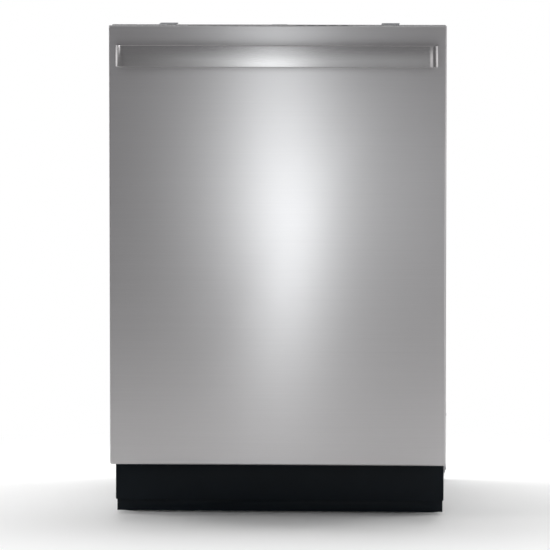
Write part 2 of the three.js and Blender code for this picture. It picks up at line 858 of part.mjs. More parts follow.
// Flat blade with a round hub, its two wings swept the same way round and narrowing to the tips.
function sprayBlade(reach, thickness, hubRadius) {
  const wing = new THREE.Shape();
  const root = 23;
  const tip = 12;
  wing.moveTo(0, -root);
  wing.quadraticCurveTo(reach * 0.5, -root - 3, reach - tip, -tip + 6);
  wing.absarc(reach - tip, 6, tip, -Math.PI / 2, Math.PI / 2);
  wing.quadraticCurveTo(reach * 0.5, root - 5, 0, root);
  wing.quadraticCurveTo(-reach * 0.5, root + 3, -reach + tip, tip - 6);
  wing.absarc(-reach + tip, -6, tip, Math.PI / 2, Math.PI * 1.5);
  wing.quadraticCurveTo(-reach * 0.5, -root + 5, 0, -root);
  const blade = prism(wing, "z", 1.5, thickness - 1.5, {
    bevelEnabled: true,
    bevelSize: 1.5,
    bevelOffset: -1.5,
    bevelThickness: 1.5,
    bevelSegments: 1,
    curveSegments: 4,
  });
  const jets = [];
  for (const side of [-1, 1]) {
    for (const share of [0.35, 0.6, 0.85]) {
      const x = side * reach * share;
      const lean = side * 4 * share;
      jets.push(rod([x, lean, thickness - 1], [x, lean, thickness + 1.6], 3.6, 5));
    }
  }
  return join(blade, rod([0, 0, 0], [0, 0, thickness + 2], hubRadius, 18), ...jets);
}

function lowerSprayArm() {
  const low = riserTop - 10;
  const bladeLow = riserTop + 8 - low;
  const geometry = geometryFrom(sprayBlade(lowerArmReach, 12, 22));
  geometry.translate(0, 0, bladeLow);
  const hub = rod([0, 0, 0], [0, 0, bladeLow + 2], riserRadius + 5, 18);
  const socket = rod([0, 0, -1], [0, 0, riserTop + seat - low], riserRadius + seat, 18);
  return cut(join(solidFrom(geometry), hub), socket);
}

function upperSprayArm() {
  return join(sprayBlade(upperArmReach, 10, 20), rod([0, 0, 8], [0, 0, upperArmHeight], 14, 14));
}

addPiece(dishwasher, "spray_feed_tube", sprayFeedTube(), greyPlastic);
addPiece(dishwasher, "lower_spray_arm", lowerSprayArm(), paleGreyPlastic, [0, wellY, riserTop - 10]);

// ---------------------------------------------------------------- latch strike and counter brackets
const strikeBack = flangeY + 23;
const latchFloor = flangeTop + 4;

function latchStrike() {
  const y0 = flangeY + tubSheet + seat;
  const floor = latchFloor;
  const outline = polygon([
    [y0, tubOuterTop + 2],
    [y0 + 3, tubOuterTop + 2],
    [y0 + 3, floor - 3],
    [strikeBack, floor - 3],
    [strikeBack, floor + 15.5],
    [y0 + 1, floor + 15.5],
    [y0 + 1, floor + 9.5],
    [y0 + 5, floor + 9.5],
    [y0 + 5, floor + 13],
    [strikeBack - 3, floor + 13],
    [strikeBack - 3, floor],
    [y0, floor],
  ]);
  return prism(outline, "x", -14, 14);
}

function counterBracket() {
  const y0 = flangeY + tubSheet + seat;
  const tab = 1.5;
  const leg = block(-16, 16, y0, y0 + tab, tubOuterTop + 2, doorTop);
  const top = prism(roundedRect(-16, 16, y0, y0 + 42, 1, 5), "z", doorTop - tab, doorTop);
  const hole = rod([0, y0 + 32, doorTop - 5], [0, y0 + 32, doorTop + 5], 2.6, 12);
  return cut(join(leg, top), hole);
}

addPiece(dishwasher, "latch_strike", latchStrike(), zincSteel);
addPiece(dishwasher, "counter_bracket_left", counterBracket(), zincSteel, [-bracketX, 0, 0]);
addPiece(dishwasher, "counter_bracket_right", counterBracket(), zincSteel, [bracketX, 0, 0]);

// ---------------------------------------------------------------- door
function doorOuterPanel() {
  const r = doorEdgeRadius;
  const t = doorSheet;
  const pan = (inset) =>
    prism(
      roundedRect(-doorHalf + r, doorHalf - r, doorBottom + r, doorTop - r, 0.6),
      "y",
      faceY + r + inset,
      faceY + doorReturn + r,
      {
        bevelEnabled: true,
        bevelSize: r - inset,
        bevelThickness: r,
        bevelSegments: 3,
        curveSegments: 2,
      },
    );
  const wide = doorHalf + 1;
  const behind = block(-wide, wide, faceY + doorReturn, faceY + 80, doorBottom - 1, doorTop + 1);
  const openTop = block(-wide, wide, faceY + t, faceY + 80, doorTop - r - 1, doorTop + 1);
  return cut(pan(0), pan(t), behind, openTop);
}

function doorHandle() {
  const half = handleLength / 2;
  const foot = faceY - seat;
  const t = handleThickness;
  const r = handleBend;
  const bow = new THREE.Shape();
  bow.moveTo(-half, foot);
  bow.lineTo(-half, handleFront + r);
  bow.absarc(-half + r, handleFront + r, r, Math.PI, Math.PI * 1.5);
  bow.lineTo(half - r, handleFront);
  bow.absarc(half - r, handleFront + r, r, -Math.PI / 2, 0);
  bow.lineTo(half, foot);
  bow.lineTo(half - t, foot);
  bow.lineTo(half - t, handleFront + r);
  bow.absarc(half - r, handleFront + r, r - t, 0, -Math.PI / 2, true);
  bow.lineTo(-half + r, handleFront + t);
  bow.absarc(-half + r, handleFront + r, r - t, -Math.PI / 2, -Math.PI, true);
  bow.lineTo(-half + t, foot);
  const top = doorTop - handleBelowTop;
  const soft = 0.8;
  return prism(bow, "z", top - handleHeight + soft, top - soft, {
    bevelEnabled: true,
    bevelSize: soft,
    bevelOffset: -soft,
    bevelThickness: soft,
    bevelSegments: 1,
    curveSegments: 6,
  });
}

const linerHalf = doorHalf - linerInset;
const linerTop = consoleBottom - seat;
const linerBottom = pivotZ - 10;
const linerNotchTop = pivotZ + 27;
const linerNotchHalf = frameHalf - frameSheet - 2;
const embossRise = 3;
const embossHalf = linerHalf - 60;

function doorLiner() {
  const t = doorSheet;
  const front = faceY + doorReturn + 1;
  const innerHalf = linerHalf - t;
  const pan = cut(
    prism(roundedRect(-linerHalf, linerHalf, linerBottom, linerTop, 3), "y", front, linerY),
    prism(roundedRect(-innerHalf, innerHalf, linerBottom + t, linerTop - t, 2), "y", front - 1, linerY - t),
  );
  const notch = (side) =>
    block(
      Math.min(side * linerNotchHalf, side * (linerHalf + 1)),
      Math.max(side * linerNotchHalf, side * (linerHalf + 1)),
      front - 1,
      linerY + 1,
      linerBottom - 1,
      linerNotchTop,
    );
  const field = (half, bottom, top, from, to) =>
    prism(roundedRect(-half, half, bottom, top, 18), "y", from, to - embossRise, {
      bevelEnabled: true,
      bevelSize: embossRise,
      bevelOffset: -embossRise,
      bevelThickness: embossRise,
      bevelSegments: 1,
    });
  const low = linerNotchTop + 30;
  const high = linerTop - 30;
  const crest = linerY + embossRise;
  const raised = field(embossHalf, low, high, linerY - 6, crest);
  const hollow = field(embossHalf - t, low + t, high - t, linerY - 8, crest - t);
  const opening = block(
    dispenserLeft + dispenserRim,
    dispenserRight - dispenserRim,
    linerY - 20,
    linerY + 20,
    dispenserBottom + dispenserRim,
    dispenserTop - dispenserRim,
  );
  return cut(join(pan, raised), hollow, opening, notch(-1), notch(1));
}

const keyMiddleY = faceY + controlsBehindFace;
const keyBottom = consoleTop - 3.3;
const displayBottom = consoleTop - 2;
const pawlPivotY = flangeY - 17;
const pawlPivotZ = latchFloor + 5;

function controlConsole() {
  const front = faceY + doorSheet + seat;
  const outline = roundedRect(-linerHalf, linerHalf, consoleBottom, consoleTop, 1, 1.5);
  const body = prism(outline, "y", front, linerY);
  const wells = [];
  const halfX = buttonWidth / 2 + seat;
  const halfY = buttonDepth / 2 + seat;
  const wellFloor = keyBottom - buttonTravel - seat;
  for (let i = 0; i < buttonCount; i += 1) {
    const x = firstButtonX + i * buttonPitch;
    const front = keyMiddleY - halfY;
    wells.push(block(x - halfX, x + halfX, front, front + halfY * 2, wellFloor, consoleTop + 1));
  }
  wells.push(
    block(
      displayMiddleX - displayWidth / 2 - seat,
      displayMiddleX + displayWidth / 2 + seat,
      keyMiddleY - displayDepth / 2 - seat,
      keyMiddleY + displayDepth / 2 + seat,
      displayBottom - seat,
      consoleTop + 1,
    ),
  );
  const half = pawlPocketHalf;
  wells.push(block(-half, half, pawlPivotY - 12, linerY + 1, consoleBottom + 6, consoleTop - 1.5));
  for (const x of [firstLampX, firstLampX + lampPitch, firstLampX + lampPitch * 2]) {
    wells.push(rod([x, keyMiddleY, consoleTop - 1.2], [x, keyMiddleY, consoleTop + 1], 1.8, 12));
  }
  return cut(body, ...wells);
}

function controlButton() {
  const halfX = buttonWidth / 2;
  const halfY = buttonDepth / 2;
  return prism(roundedRect(-halfX, halfX, -halfY, halfY, 1.5), "z", 0, doorTop - keyBottom);
}

function displayWindow() {
  const halfX = displayWidth / 2;
  const halfY = displayDepth / 2;
  return prism(roundedRect(-halfX, halfX, -halfY, halfY, 1.2), "z", 0, 2.2);
}

const leverEnd = [pivotY + 44, pivotZ - 18];

function hingeArm() {
  const inner = frameHalf + 2;
  const outer = inner + frameSheet;
  const bar = prism(roundedRect(linerY - 25, linerY - 7, pivotZ, pivotZ + 270, 4), "x", inner, outer);
  const eye = rod([inner, pivotY, pivotZ], [outer, pivotY, pivotZ], 13, 18);
  const slab = prism(leverOutline(), "x", inner, outer);
  const tip = rod([inner, ...leverEnd], [outer, ...leverEnd], 6, 16);
  return cut(
    join(bar, eye, slab, tip),
    rod([inner - 1, pivotY, pivotZ], [outer + 1, pivotY, pivotZ], axleRadius + seat, 16),
    rod([inner - 1, ...leverEnd], [outer + 1, ...leverEnd], 2, 10),
  );
}

// Strip between the pivot eye and the spring eye.
function leverOutline() {
  const start = new THREE.Vector2(pivotY, pivotZ);
  const end = new THREE.Vector2(...leverEnd);
  const across = end.clone().sub(start).normalize().rotateAround(new THREE.Vector2(), Math.PI / 2);
  const corner = (point, width) => [point.x + across.x * width, point.y + across.y * width];
  return polygon([corner(start, -9), corner(end, -5.5), corner(end, 5.5), corner(start, 9)]);
}

// Closed coil of the extension spring with a straight hook at each end.
function doorSpring() {
  const from = new THREE.Vector3(springX, leverEnd[0], leverEnd[1]);
  const to = new THREE.Vector3(springX, springAnchor[0], springAnchor[1]);
  const along = to.clone().sub(from).normalize();
  const at = (distance) => from.clone().addScaledVector(along, distance).toArray();
  const length = from.distanceTo(to);
  return join(
    rod(at(6.6), at(24), 1.2, 8),
    rod(at(22), at(length - 22), 4, 12),
    rod(at(length - 24), at(length - 3.6), 1.2, 8),
  );
}

addPiece(door, "door_outer_panel", doorOuterPanel(), brushedSteel);
addPiece(door, "door_handle", doorHandle(), brushedSteel);
addPiece(door, "door_liner", doorLiner(), tubSteel);
addPiece(door, "control_console", controlConsole(), greyPlastic);
for (let i = 0; i < buttonCount; i += 1) {
  const place = [firstButtonX + i * buttonPitch, keyMiddleY, keyBottom];
  addPiece(door, `control_button_${i + 1}`, controlButton(), blackPlastic, place);
}
addPiece(door, "display_window", displayWindow(), darkGlass, [displayMiddleX, keyMiddleY, displayBottom]);
addPiece(door, "hinge_arm_right", hingeArm(), zincSteel);
addPiece(door, "hinge_arm_left", mirrored(hingeArm()), zincSteel);
addPiece(door, "door_spring_right", doorSpring(), zincSteel);
addPiece(door, "door_spring_left", mirrored(doorSpring()), zincSteel);

// Pawl of the latch: a shank with an upturned nose, on a cross pin in the console.
function latchPawl() {
  const outline = polygon([
    [-6, -3],
    [30, -3],
    [30, 4.2],
    [26, 4.2],
    [26, 0.5],
    [4, 0.5],
    [0, 3],
    [-6, 3],
  ]);
  const half = pawlPocketHalf - seat;
  return join(prism(outline, "x", -5, 5), rod([-half, 0, 0], [half, 0, 0], 2, 12));
}

addPiece(door, "latch_pawl", latchPawl(), zincSteel, [0, pawlPivotY, pawlPivotZ]);

// ---------------------------------------------------------------- detergent dispenser
const dispenserBack = linerY + embossRise + seat;
const dispenserFace = dispenserBack + 4;
const lidOverlap = 2;

function dispenserBody() {
  const rim = dispenserRim + seat;
  const plate = prism(
    roundedRect(dispenserLeft, dispenserRight, dispenserBottom, dispenserTop, 6),
    "y",
    dispenserBack,
    dispenserFace,
  );
  const box = block(
    dispenserLeft + rim,
    dispenserRight - rim,
    linerY - 24,
    dispenserBack + 1,
    dispenserBottom + rim,
    dispenserTop - rim,
  );
  const cup = prism(
    roundedRect(cupLeft, cupLeft + cupWidth, cupBottom, cupBottom + cupHeight, 8),
    "y",
    linerY - 16,
    dispenserFace + 1,
  );
  const guideLeft = cupLeft - lidOverlap - 2;
  const guideRight = cupLeft + cupWidth * 2 + 6;
  const low = cupBottom - lidOverlap - seat;
  const high = cupBottom + cupHeight + lidOverlap + seat;
  const lidTop = dispenserFace + 3 + seat * 2;
  const guides = [
    block(guideLeft, guideRight, dispenserFace - 1, lidTop + 1.4, low - 3, low),
    block(guideLeft, guideRight, lidTop, lidTop + 1.4, low - 3, low + 1.5),
    block(guideLeft, guideRight, dispenserFace - 1, lidTop + 1.4, high, high + 3),
    block(guideLeft, guideRight, lidTop, lidTop + 1.4, high - 1.5, high + 3),
  ];
  const capSeat = rod([capX, dispenserFace - 2, capZ], [capX, dispenserFace + 1, capZ], capRadius - 3, 18);
  return cut(join(plate, box, ...guides), cup, capSeat);
}

function detergentLid() {
  const width = cupWidth + lidOverlap * 2;
  const height = cupHeight + lidOverlap * 2;
  const plate = block(0, width, 0, 3, 0, height);
  const thumb = prism(roundedRect(width - 16, width - 8, 18, height - 18, 3), "y", 2, 5.5);
  return join(plate, thumb);
}

function rinseAidCap() {
  const disc = rod([0, 0, 0], [0, 4, 0], capRadius, 20);
  const plug = rod([0, -1.6, 0], [0, 1, 0], capRadius - 3 - seat, 18);
  const grip = prism(roundedRect(-capRadius + 3, capRadius - 3, -2.5, 2.5, 2), "y", 3, 8);
  return join(disc, plug, grip);
}

addPiece(door, "dispenser_body", dispenserBody(), greyPlastic);
addPiece(door, "detergent_lid", detergentLid(), paleGreyPlastic, [
  cupLeft - lidOverlap,
  dispenserFace + seat,
  cupBottom - lidOverlap,
]);
addPiece(door, "rinse_aid_cap", rinseAidCap(), bluePlastic, [capX, dispenserFace + seat, capZ]);

// ---------------------------------------------------------------- racks
// Half width of the sloping side wires at a height.
function rackSideX(floorZ, rimZ, z) {
  return rackFloorHalf + ((rackRimHalf - rackFloorHalf) * (z - floorZ)) / (rimZ - floorZ);
}

// Welded wire basket: U-shaped cross wires, U-shaped lengthwise wires laid over them, and rim loops.
function wireBasket(floorZ, rimZ, loops) {
  const front = rackFront + wire;
  const back = rackBack - wire;
  const pieces = [];
  for (let i = 0; i < crossWires; i += 1) {
    const y = crossWireY(i);
    pieces.push(
      bentRod(
        [
          [-rackRimHalf, y, rimZ],
          [-rackFloorHalf, y, floorZ],
          [rackFloorHalf, y, floorZ],
          [rackRimHalf, y, rimZ],
        ],
        wire,
      ),
    );
  }
  const longZ = floorZ + longOverCross;
  for (let i = 0; i < longWires; i += 1) {
    const x = -rackFloorHalf + 14 + ((rackFloorHalf * 2 - 28) * i) / (longWires - 1);
    pieces.push(
      bentRod(
        [
          [x, front, rimZ],
          [x, front, longZ + rackCorner],
          [x, front + rackCorner, longZ],
          [x, back, longZ],
          [x, back, rimZ],
        ],
        wire,
      ),
    );
  }
  const bar = wireFlat;
  for (const z of [rimZ, ...loops]) {
    const half = rackSideX(floorZ, rimZ, z);
    const outline = (grow) => roundedRect(-half - grow, half + grow, front - grow, back + grow, 12 + grow);
    const inside = prism(outline(-bar), "z", z - bar - 1, z + bar + 1);
    pieces.push(cut(prism(outline(bar), "z", z - bar, z + bar), inside));
  }
  return pieces;
}

function tines(x, from, to, count, baseZ, height, lean = 0) {
  const pieces = [rod([x, from, baseZ], [x, to, baseZ], tineRod, wireSides)];
  for (let i = 0; i < count; i += 1) {
    const y = from + 8 + ((to - from - 16) * i) / (count - 1);
    pieces.push(rod([x, y, baseZ], [x + lean, y, baseZ + height], 1.8, wireSides));
  }
  return pieces;
}

function upperRackBasket() {
  const shoeHalf = trackChannel - seat;
  const sideX = rackSideX(upperFloorZ, upperRimZ, trackZ);
  const shoes = [];
  const shoeX = trackWeb - trackSheet / 2 - seat;
  for (const from of shoesBeforeBack.map((y) => rackBack - y)) {
    const shoe = block(sideX - 1, shoeX, from, from + trackShoe, trackZ - shoeHalf, trackZ + shoeHalf);
    shoes.push(shoe, mirrored(shoe));
  }
  const base = upperFloorZ + longOverCross;
  const front = rackFront + 56;
  const back = rackBack - 38;
  return join(
    ...wireBasket(upperFloorZ, upperRimZ, [trackZ]),
    ...tines(-upperTineX, front, back, 5, base, upperTineHeight, -upperTineLean),
    ...tines(upperTineX, front, back, 5, base, upperTineHeight, upperTineLean),
    ...shoes,
  );
}

function upperManifold() {
  const end = dockY - seat - wellY;
  const top = upperFloorZ - wireFlat - seat - manifoldZ;
  const tube = rod([0, end, 0], [0, 0, 0], 9, 12);
  const nose = rod([0, end, 0], [0, end - 12, 0], 12, 12);
  const hub = rod([0, 0, -manifoldHub], [0, 0, 9], 15, 14);
  const saddles = [3, 4].map((i) => {
    const y = crossWireY(i) - wellY;
    return block(-30, 30, y - 6, y + 6, 4, top);
  });
  return join(tube, nose, hub, ...saddles);
}

function cupShelf() {
  const reach = shelfReach;
  const from = rackFront + shelfBehindRack;
  const to = from + shelfLength;
  const plate = block(-reach, 0, from, to, -2, 2);
  const slots = [];
  for (let i = 0; i < 5; i += 1) {
    const y = from + 18 + i * 40;
    slots.push(block(-reach + 10, -12, y, y + 26, -3, 3));
  }
  const pivotRod = rod([0, from, 0], [0, to, 0], shelfRod, 8);
  return join(cut(plate, ...slots), pivotRod);
}

function upperTrack() {
  const middle = trackSheet / 2;
  const open = trackChannel;
  const edge = open + trackSheet;
  const outline = polygon([
    [trackInner, -edge],
    [trackOuter, -edge],
    [trackOuter, -open],
    [trackWeb + middle, -open],
    [trackWeb + middle, open],
    [trackOuter, open],
    [trackOuter, edge],
    [trackInner, edge],
    [trackInner, open],
    [trackWeb - middle, open],
    [trackWeb - middle, -open],
    [trackInner, -open],
  ]);
  return prism(outline, "y", trackFront, trackBack);
}

function trackRoller() {
  const radius = trackChannel - seat;
  const bore = rod([-5, 0, 0], [5, 0, 0], axleRadius, 12);
  return cut(rod([-3, 0, 0], [3, 0, 0], radius, 16), bore);
}

const shelfZ = trackZ + shelfAboveTrack;
const shelfHinge = [rackSideX(upperFloorZ, upperRimZ, shelfZ) - wireFlat - seat - shelfRod, 0, shelfZ];
const tubRollerX = tubInnerHalf - seat - 3;
const upperArmZ = manifoldZ - manifoldHub - seat - upperArmHeight;

addPiece(upperRack, "upper_rack", upperRackBasket(), rackNylon);
addPiece(upperRack, "upper_manifold", upperManifold(), greyPlastic, [0, wellY, manifoldZ]);
addPiece(upperRack, "upper_spray_arm", upperSprayArm(), paleGreyPlastic, [0, wellY, upperArmZ]);
addPiece(upperRack, "cup_shelf_right", cupShelf(), rackNylon, shelfHinge);
addPiece(upperRack, "cup_shelf_left", mirrored(cupShelf()), rackNylon, [-shelfHinge[0], 0, shelfHinge[2]]);
addPiece(upperRack, "upper_track_right", upperTrack(), tubSteel, [0, 0, trackZ]);
addPiece(upperRack, "upper_track_left", mirrored(upperTrack()), tubSteel, [0, 0, trackZ]);
for (const [side, x] of [["left", -tubRollerX], ["right", tubRollerX]]) {
  for (const [end, y] of [["front", rollerPlaces[0]], ["back", rollerPlaces[1]]]) {
    addPiece(upperRack, `track_roller_${end}_${side}`, trackRoller(), rackNylon, [x, y, trackZ]);
  }
}

function lowerRackBasket() {
  const hubs = [];
  const bracketInner = rackFloorHalf - 4;
  const bracketOuter = wheelInner - seat;
  for (const y of wheelPlaces) {
    const bracket = roundedRect(y - wheelBracketHalf, y + wheelBracketHalf, wheelZ - 9, lowerFloorZ + 5, 4);
    const side = join(
      prism(bracket, "x", bracketInner, bracketOuter),
      rod([rackFloorHalf, y, wheelZ], [wheelInner + wheelWidth + 3, y, wheelZ], axleRadius - seat, 12),
      rod([wheelInner + wheelWidth + seat, y, wheelZ], [wheelInner + wheelWidth + 3, y, wheelZ], 7, 12),
    );
    hubs.push(side, mirrored(side));
  }
  const base = lowerFloorZ + longOverCross;
  const padTop = foldingTineZ - tineRod - seat;
  const front = rackFront + 116;
  const back = rackBack - 23;
  const pads = [2, 4].map((i) =>
    block(tineRowX - 4, tineRowX + 4, crossWireY(i) - 4, crossWireY(i) + 4, lowerFloorZ, padTop),
  );
  return join(
    ...wireBasket(lowerFloorZ, lowerRimZ, []),
    ...tines(leftTineX, front, back, 5, base, tineHeight),
    ...tines(rightTineX, front, back, 5, base, tineHeight),
    ...hubs,
    ...pads,
  );
}

function rackWheel() {
  const w = wheelWidth;
  const r = wheelRadius;
  const profile = [
    [axleRadius, 0],
    [8, 0],
    [8, 3],
    [r - 4, 3],
    [r - 4, 0.5],
    [r, 0.5],
    [r, w - 0.5],
    [r - 4, w - 0.5],
    [r - 4, w - 3],
    [8, w - 3],
    [8, w],
    [axleRadius, w],
    [axleRadius, 0],
  ];
  const geometry = new THREE.LatheGeometry(profile.map(([x, y]) => new THREE.Vector2(x, y)), 12);
  geometry.rotateZ(-Math.PI / 2);
  return solidFrom(geometry);
}

function foldingTines() {
  return join(...tines(0, rackFront + 122, rackBack - 28, 8, 0, tineHeight));
}

function silverwareBasket() {
  const deep = basketDepth;
  const high = basketHeight;
  const wall = basketWall;
  const shell = prism(roundedRect(-basketHalf, basketHalf, 0, deep, 6), "z", 0, high);
  const middle = deep / 2;
  const cells = [];
  const pitch = (basketHalf * 2 - wall) / basketCells;
  const slotHalf = basketSlot / 2;
  const slotHeight = (high - basketRib * 4) / 2;
  const rows = [basketRib, basketRib * 2 + slotHeight];
  for (let i = 0; i < basketCells; i += 1) {
    const x = -basketHalf + wall + i * pitch;
    cells.push(prism(roundedRect(x, x + pitch - wall, wall, deep - wall, 4), "z", wall, high + 1));
    for (const share of [0.29, 0.71]) {
      const slotX = x + (pitch - wall) * share;
      cells.push(block(slotX - slotHalf, slotX + slotHalf, basketRib * 2, deep - basketRib * 2, -1, wall + 1));
      for (const z of rows) cells.push(block(slotX - slotHalf, slotX + slotHalf, -1, deep + 1, z, z + slotHeight));
    }
  }
  for (const z of rows) {
    cells.push(block(-basketHalf - 1, basketHalf + 1, middle - slotHalf, middle + slotHalf, z, z + slotHeight));
  }
  const bail = bentRod(
    [
      [-basketHalf + 3, middle, high - 8],
      [-basketHalf + 22, middle, high + 34],
      [basketHalf - 22, middle, high + 34],
      [basketHalf - 3, middle, high - 8],
    ],
    4,
    8,
  );
  return join(cut(shell, ...cells), bail);
}

addPiece(lowerRack, "lower_rack", lowerRackBasket(), rackNylon);
addPiece(lowerRack, "silverware_basket", silverwareBasket(), paleGreyPlastic, [0, basketFront, basketZ]);
addPiece(lowerRack, "folding_tines", foldingTines(), rackNylon, [tineRowX, 0, foldingTineZ]);
for (const [side, sign] of [["left", -1], ["right", 1]]) {
  for (const [end, y] of [["front", wheelPlaces[0]], ["back", wheelPlaces[1]]]) {
    const wheel = sign > 0 ? rackWheel() : mirrored(rackWheel());
    addPiece(lowerRack, `rack_wheel_${end}_${side}`, wheel, rackNylon, [sign * wheelInner, y, wheelZ]);
  }
}

export default dishwasher;
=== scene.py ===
# %% [markdown]
# A built-in dishwasher, dressed in Blender.
#
# The moving frame of the machine comes from a packed construction model: every body, hinge and slide is
# already at its real size and place. This script only adds what the eye needs, which is finish, small parts
# and light.

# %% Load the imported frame
import json
import math

import bmesh
import bpy
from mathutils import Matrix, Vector


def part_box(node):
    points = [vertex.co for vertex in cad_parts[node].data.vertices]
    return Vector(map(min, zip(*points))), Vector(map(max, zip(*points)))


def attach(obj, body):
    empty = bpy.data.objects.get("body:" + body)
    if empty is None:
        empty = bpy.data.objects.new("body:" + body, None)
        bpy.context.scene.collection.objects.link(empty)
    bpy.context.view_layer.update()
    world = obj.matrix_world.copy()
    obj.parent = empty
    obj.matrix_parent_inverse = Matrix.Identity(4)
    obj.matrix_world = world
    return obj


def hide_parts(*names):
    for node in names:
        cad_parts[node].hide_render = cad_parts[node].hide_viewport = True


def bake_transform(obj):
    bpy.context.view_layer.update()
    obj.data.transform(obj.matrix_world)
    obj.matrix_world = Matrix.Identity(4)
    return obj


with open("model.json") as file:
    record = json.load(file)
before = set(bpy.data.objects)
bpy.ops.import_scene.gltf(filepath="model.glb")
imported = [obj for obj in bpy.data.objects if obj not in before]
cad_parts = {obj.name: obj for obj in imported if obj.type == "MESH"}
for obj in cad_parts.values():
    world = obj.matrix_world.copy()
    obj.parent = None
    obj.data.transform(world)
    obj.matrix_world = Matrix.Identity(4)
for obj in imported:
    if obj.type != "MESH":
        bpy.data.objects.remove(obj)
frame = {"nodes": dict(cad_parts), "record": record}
nodes = frame["nodes"]
body_of = {name: body for body, names in frame["record"]["behaviour"]["bodies"].items() for name in names}
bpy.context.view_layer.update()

# %% [markdown]
# The camera stands a long way off and uses a long lens, so that the door's edges stay nearly parallel. It
# looks slightly down and comes a few degrees from the right. The aim point lies on the door's face, and the
# frame's width at that distance sets the focal length.

# %% Camera
door_low = Vector(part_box("door_outer_panel")[0])
CAMERA_AZIMUTH = math.radians(2.8)
CAMERA_RISE = math.radians(5.3)
CAMERA_DISTANCE = 11.0
FRAME_WIDTH = 0.988
AIM_SIDE, AIM_HEIGHT = -0.0045, 0.344  # from the middle of the door's foot
SENSOR_WIDTH = 36
VIEW_DEPTH = 60
aim = Vector((AIM_SIDE, door_low.y, door_low.z + AIM_HEIGHT))
camera_data = bpy.data.cameras.new("camera")
camera_data.sensor_width = SENSOR_WIDTH
camera_data.lens = SENSOR_WIDTH * CAMERA_DISTANCE / FRAME_WIDTH
camera_data.clip_end = VIEW_DEPTH


def linked(name, data):
    """New object that holds the data, linked into the scene."""
    item = bpy.data.objects.new(name, data)
    bpy.context.scene.collection.objects.link(item)
    return item


camera = linked("camera", camera_data)
towards_camera = Vector((
    math.sin(CAMERA_AZIMUTH) * math.cos(CAMERA_RISE),
    -math.cos(CAMERA_AZIMUTH) * math.cos(CAMERA_RISE),
    math.sin(CAMERA_RISE),
))
camera.location = aim + towards_camera * CAMERA_DISTANCE
camera.rotation_euler = towards_camera.to_track_quat("Z", "Y").to_euler()
bpy.context.scene.camera = camera
print("lens", round(camera_data.lens, 1), "mm, camera at", [round(value, 2) for value in camera.location])

# %% [markdown]
# Brushed steel shows the room more than it shows itself, so the light is part of the finish. Four lamps
# only light things: one overhead, one at each side and one behind. Three broad sheens do the opposite. They
# show only in reflections, where they lay a dim white over bare metal. What the door's face shows is set
# apart: a low glow, a wash and a tall strip stand in front of its middle, all slightly cool, with a weak
# lamp further off at each side.

# %% Lamps
PLAIN, COOL = (1, 1, 1), (0.95, 0.99, 1.0)
DOOR_AIM = (0, door_low.y, 0.56)
LAMPS = (  # name, place, target, size, watts, spread in degrees, tint, what the lamp is there for
    ("overhead", (0, 0.8, 3.1), (0, 0.7, 0), (2.4, 1.9), 21, 80, PLAIN, "light"),
    ("overhead_sheen", (0, 0.3, 3.2), (0, 0.3, 0), (3.4, 3.0), 24, 180, PLAIN, "sheen"),
    ("left_side", (-3.0, 1.5, 1.7), (0, 0.4, 0.5), (2.0, 2.0), 14, 72, PLAIN, "light"),
    ("right_side", (3.0, 1.5, 1.7), (0, 0.4, 0.5), (2.0, 2.0), 14, 72, PLAIN, "light"),
    ("left_sheen", (-3.2, 1.5, 1.5), (0, 0.4, 0.5), (3.0, 2.6), 19, 180, PLAIN, "sheen"),
    ("right_sheen", (3.2, 1.5, 1.5), (0, 0.4, 0.5), (3.0, 2.6), 19, 180, PLAIN, "sheen"),
    ("behind", (0, 3.6, 1.9), (0, 0.3, 0.4), (2.4, 1.6), 42, 180, PLAIN, "light"),
    ("front_glow", (-0.085, -1.6, 0.475), DOOR_AIM, (0.1, 0.22), 0.27, 180, COOL, "both"),
    ("front_wash", (0.01, -1.7, 0.58), DOOR_AIM, (0.7, 0.4), 0.47, 180, COOL, "both"),
    ("front_strip", (-0.07, -1.62, 0.62), DOOR_AIM, (0.1, 1.1), 0.9, 180, COOL, "both"),
    ("front_right", (1.2, -2.0, 0.5), (0, door_low.y, 0.5), (1.5, 0.9), 1.3, 90, PLAIN, "both"),
    ("front_left", (-2.8, -1.2, 2.0), (0, 0, 0.45), (1.4, 1.4), 5, 70, PLAIN, "both"),
)


def soft_lamp(name, place, target, size, watts, spread, tint, use):
    """Rectangular lamp at place, facing target; a small spread keeps its light near the target."""
    data = bpy.data.lights.new(name, "AREA")
    data.shape = "RECTANGLE"
    data.size, data.size_y = size
    data.energy = watts
    data.spread = math.radians(spread)
    data.color = tint
    lamp = linked(name, data)
    lamp.location = place
    lamp.rotation_euler = (Vector(place) - Vector(target)).to_track_quat("Z", "Y").to_euler()
    lamp.visible_camera = False
    lamp.visible_glossy = use != "light"
    lamp.visible_diffuse = use != "sheen"


for lamp_row in LAMPS:
    soft_lamp(*lamp_row)
bpy.context.scene.view_settings.view_transform = "Standard"
print("studio holds", len(LAMPS), "lamps")

# %% [markdown]
# The floor is pale grey near the machine, so that it keeps a soft shadow. Further out it turns to plain
# white: all round for the camera, but only behind the machine for reflections, because the door has to
# mirror a grey floor. The room itself is white to the camera and lights the machine a little. Node trees
# recur from here on, so two helpers come first: one makes a node with its inputs set or linked, the other a
# Math node.

# %% Floor and room
FLOOR_GREY = (0.75, 0.75, 0.745)
WHITE_FROM, WHITE_TO = 0.3, 1.1
FLOOR_CORNERS = [(-30, -16, 0), (30, -16, 0), (30, 60, 0), (-30, 60, 0)]
ROOM_COLOUR = (0.98, 0.98, 1.0, 1)
ROOM_LIGHT = 0.27
ROOM_FOR_CAMERA = 0.73


def node_of(tree, kind, inputs=None, **settings):
    """New node with its settings and unlinked inputs set, or linked where an input is a socket."""
    node = tree.nodes.new(kind)
    for name, value in settings.items():
        setattr(node, name, value)
    for key, value in (inputs or {}).items():
        if isinstance(value, bpy.types.NodeSocket):
            tree.links.new(value, node.inputs[key])
        else:
            node.inputs[key].default_value = value
    return node


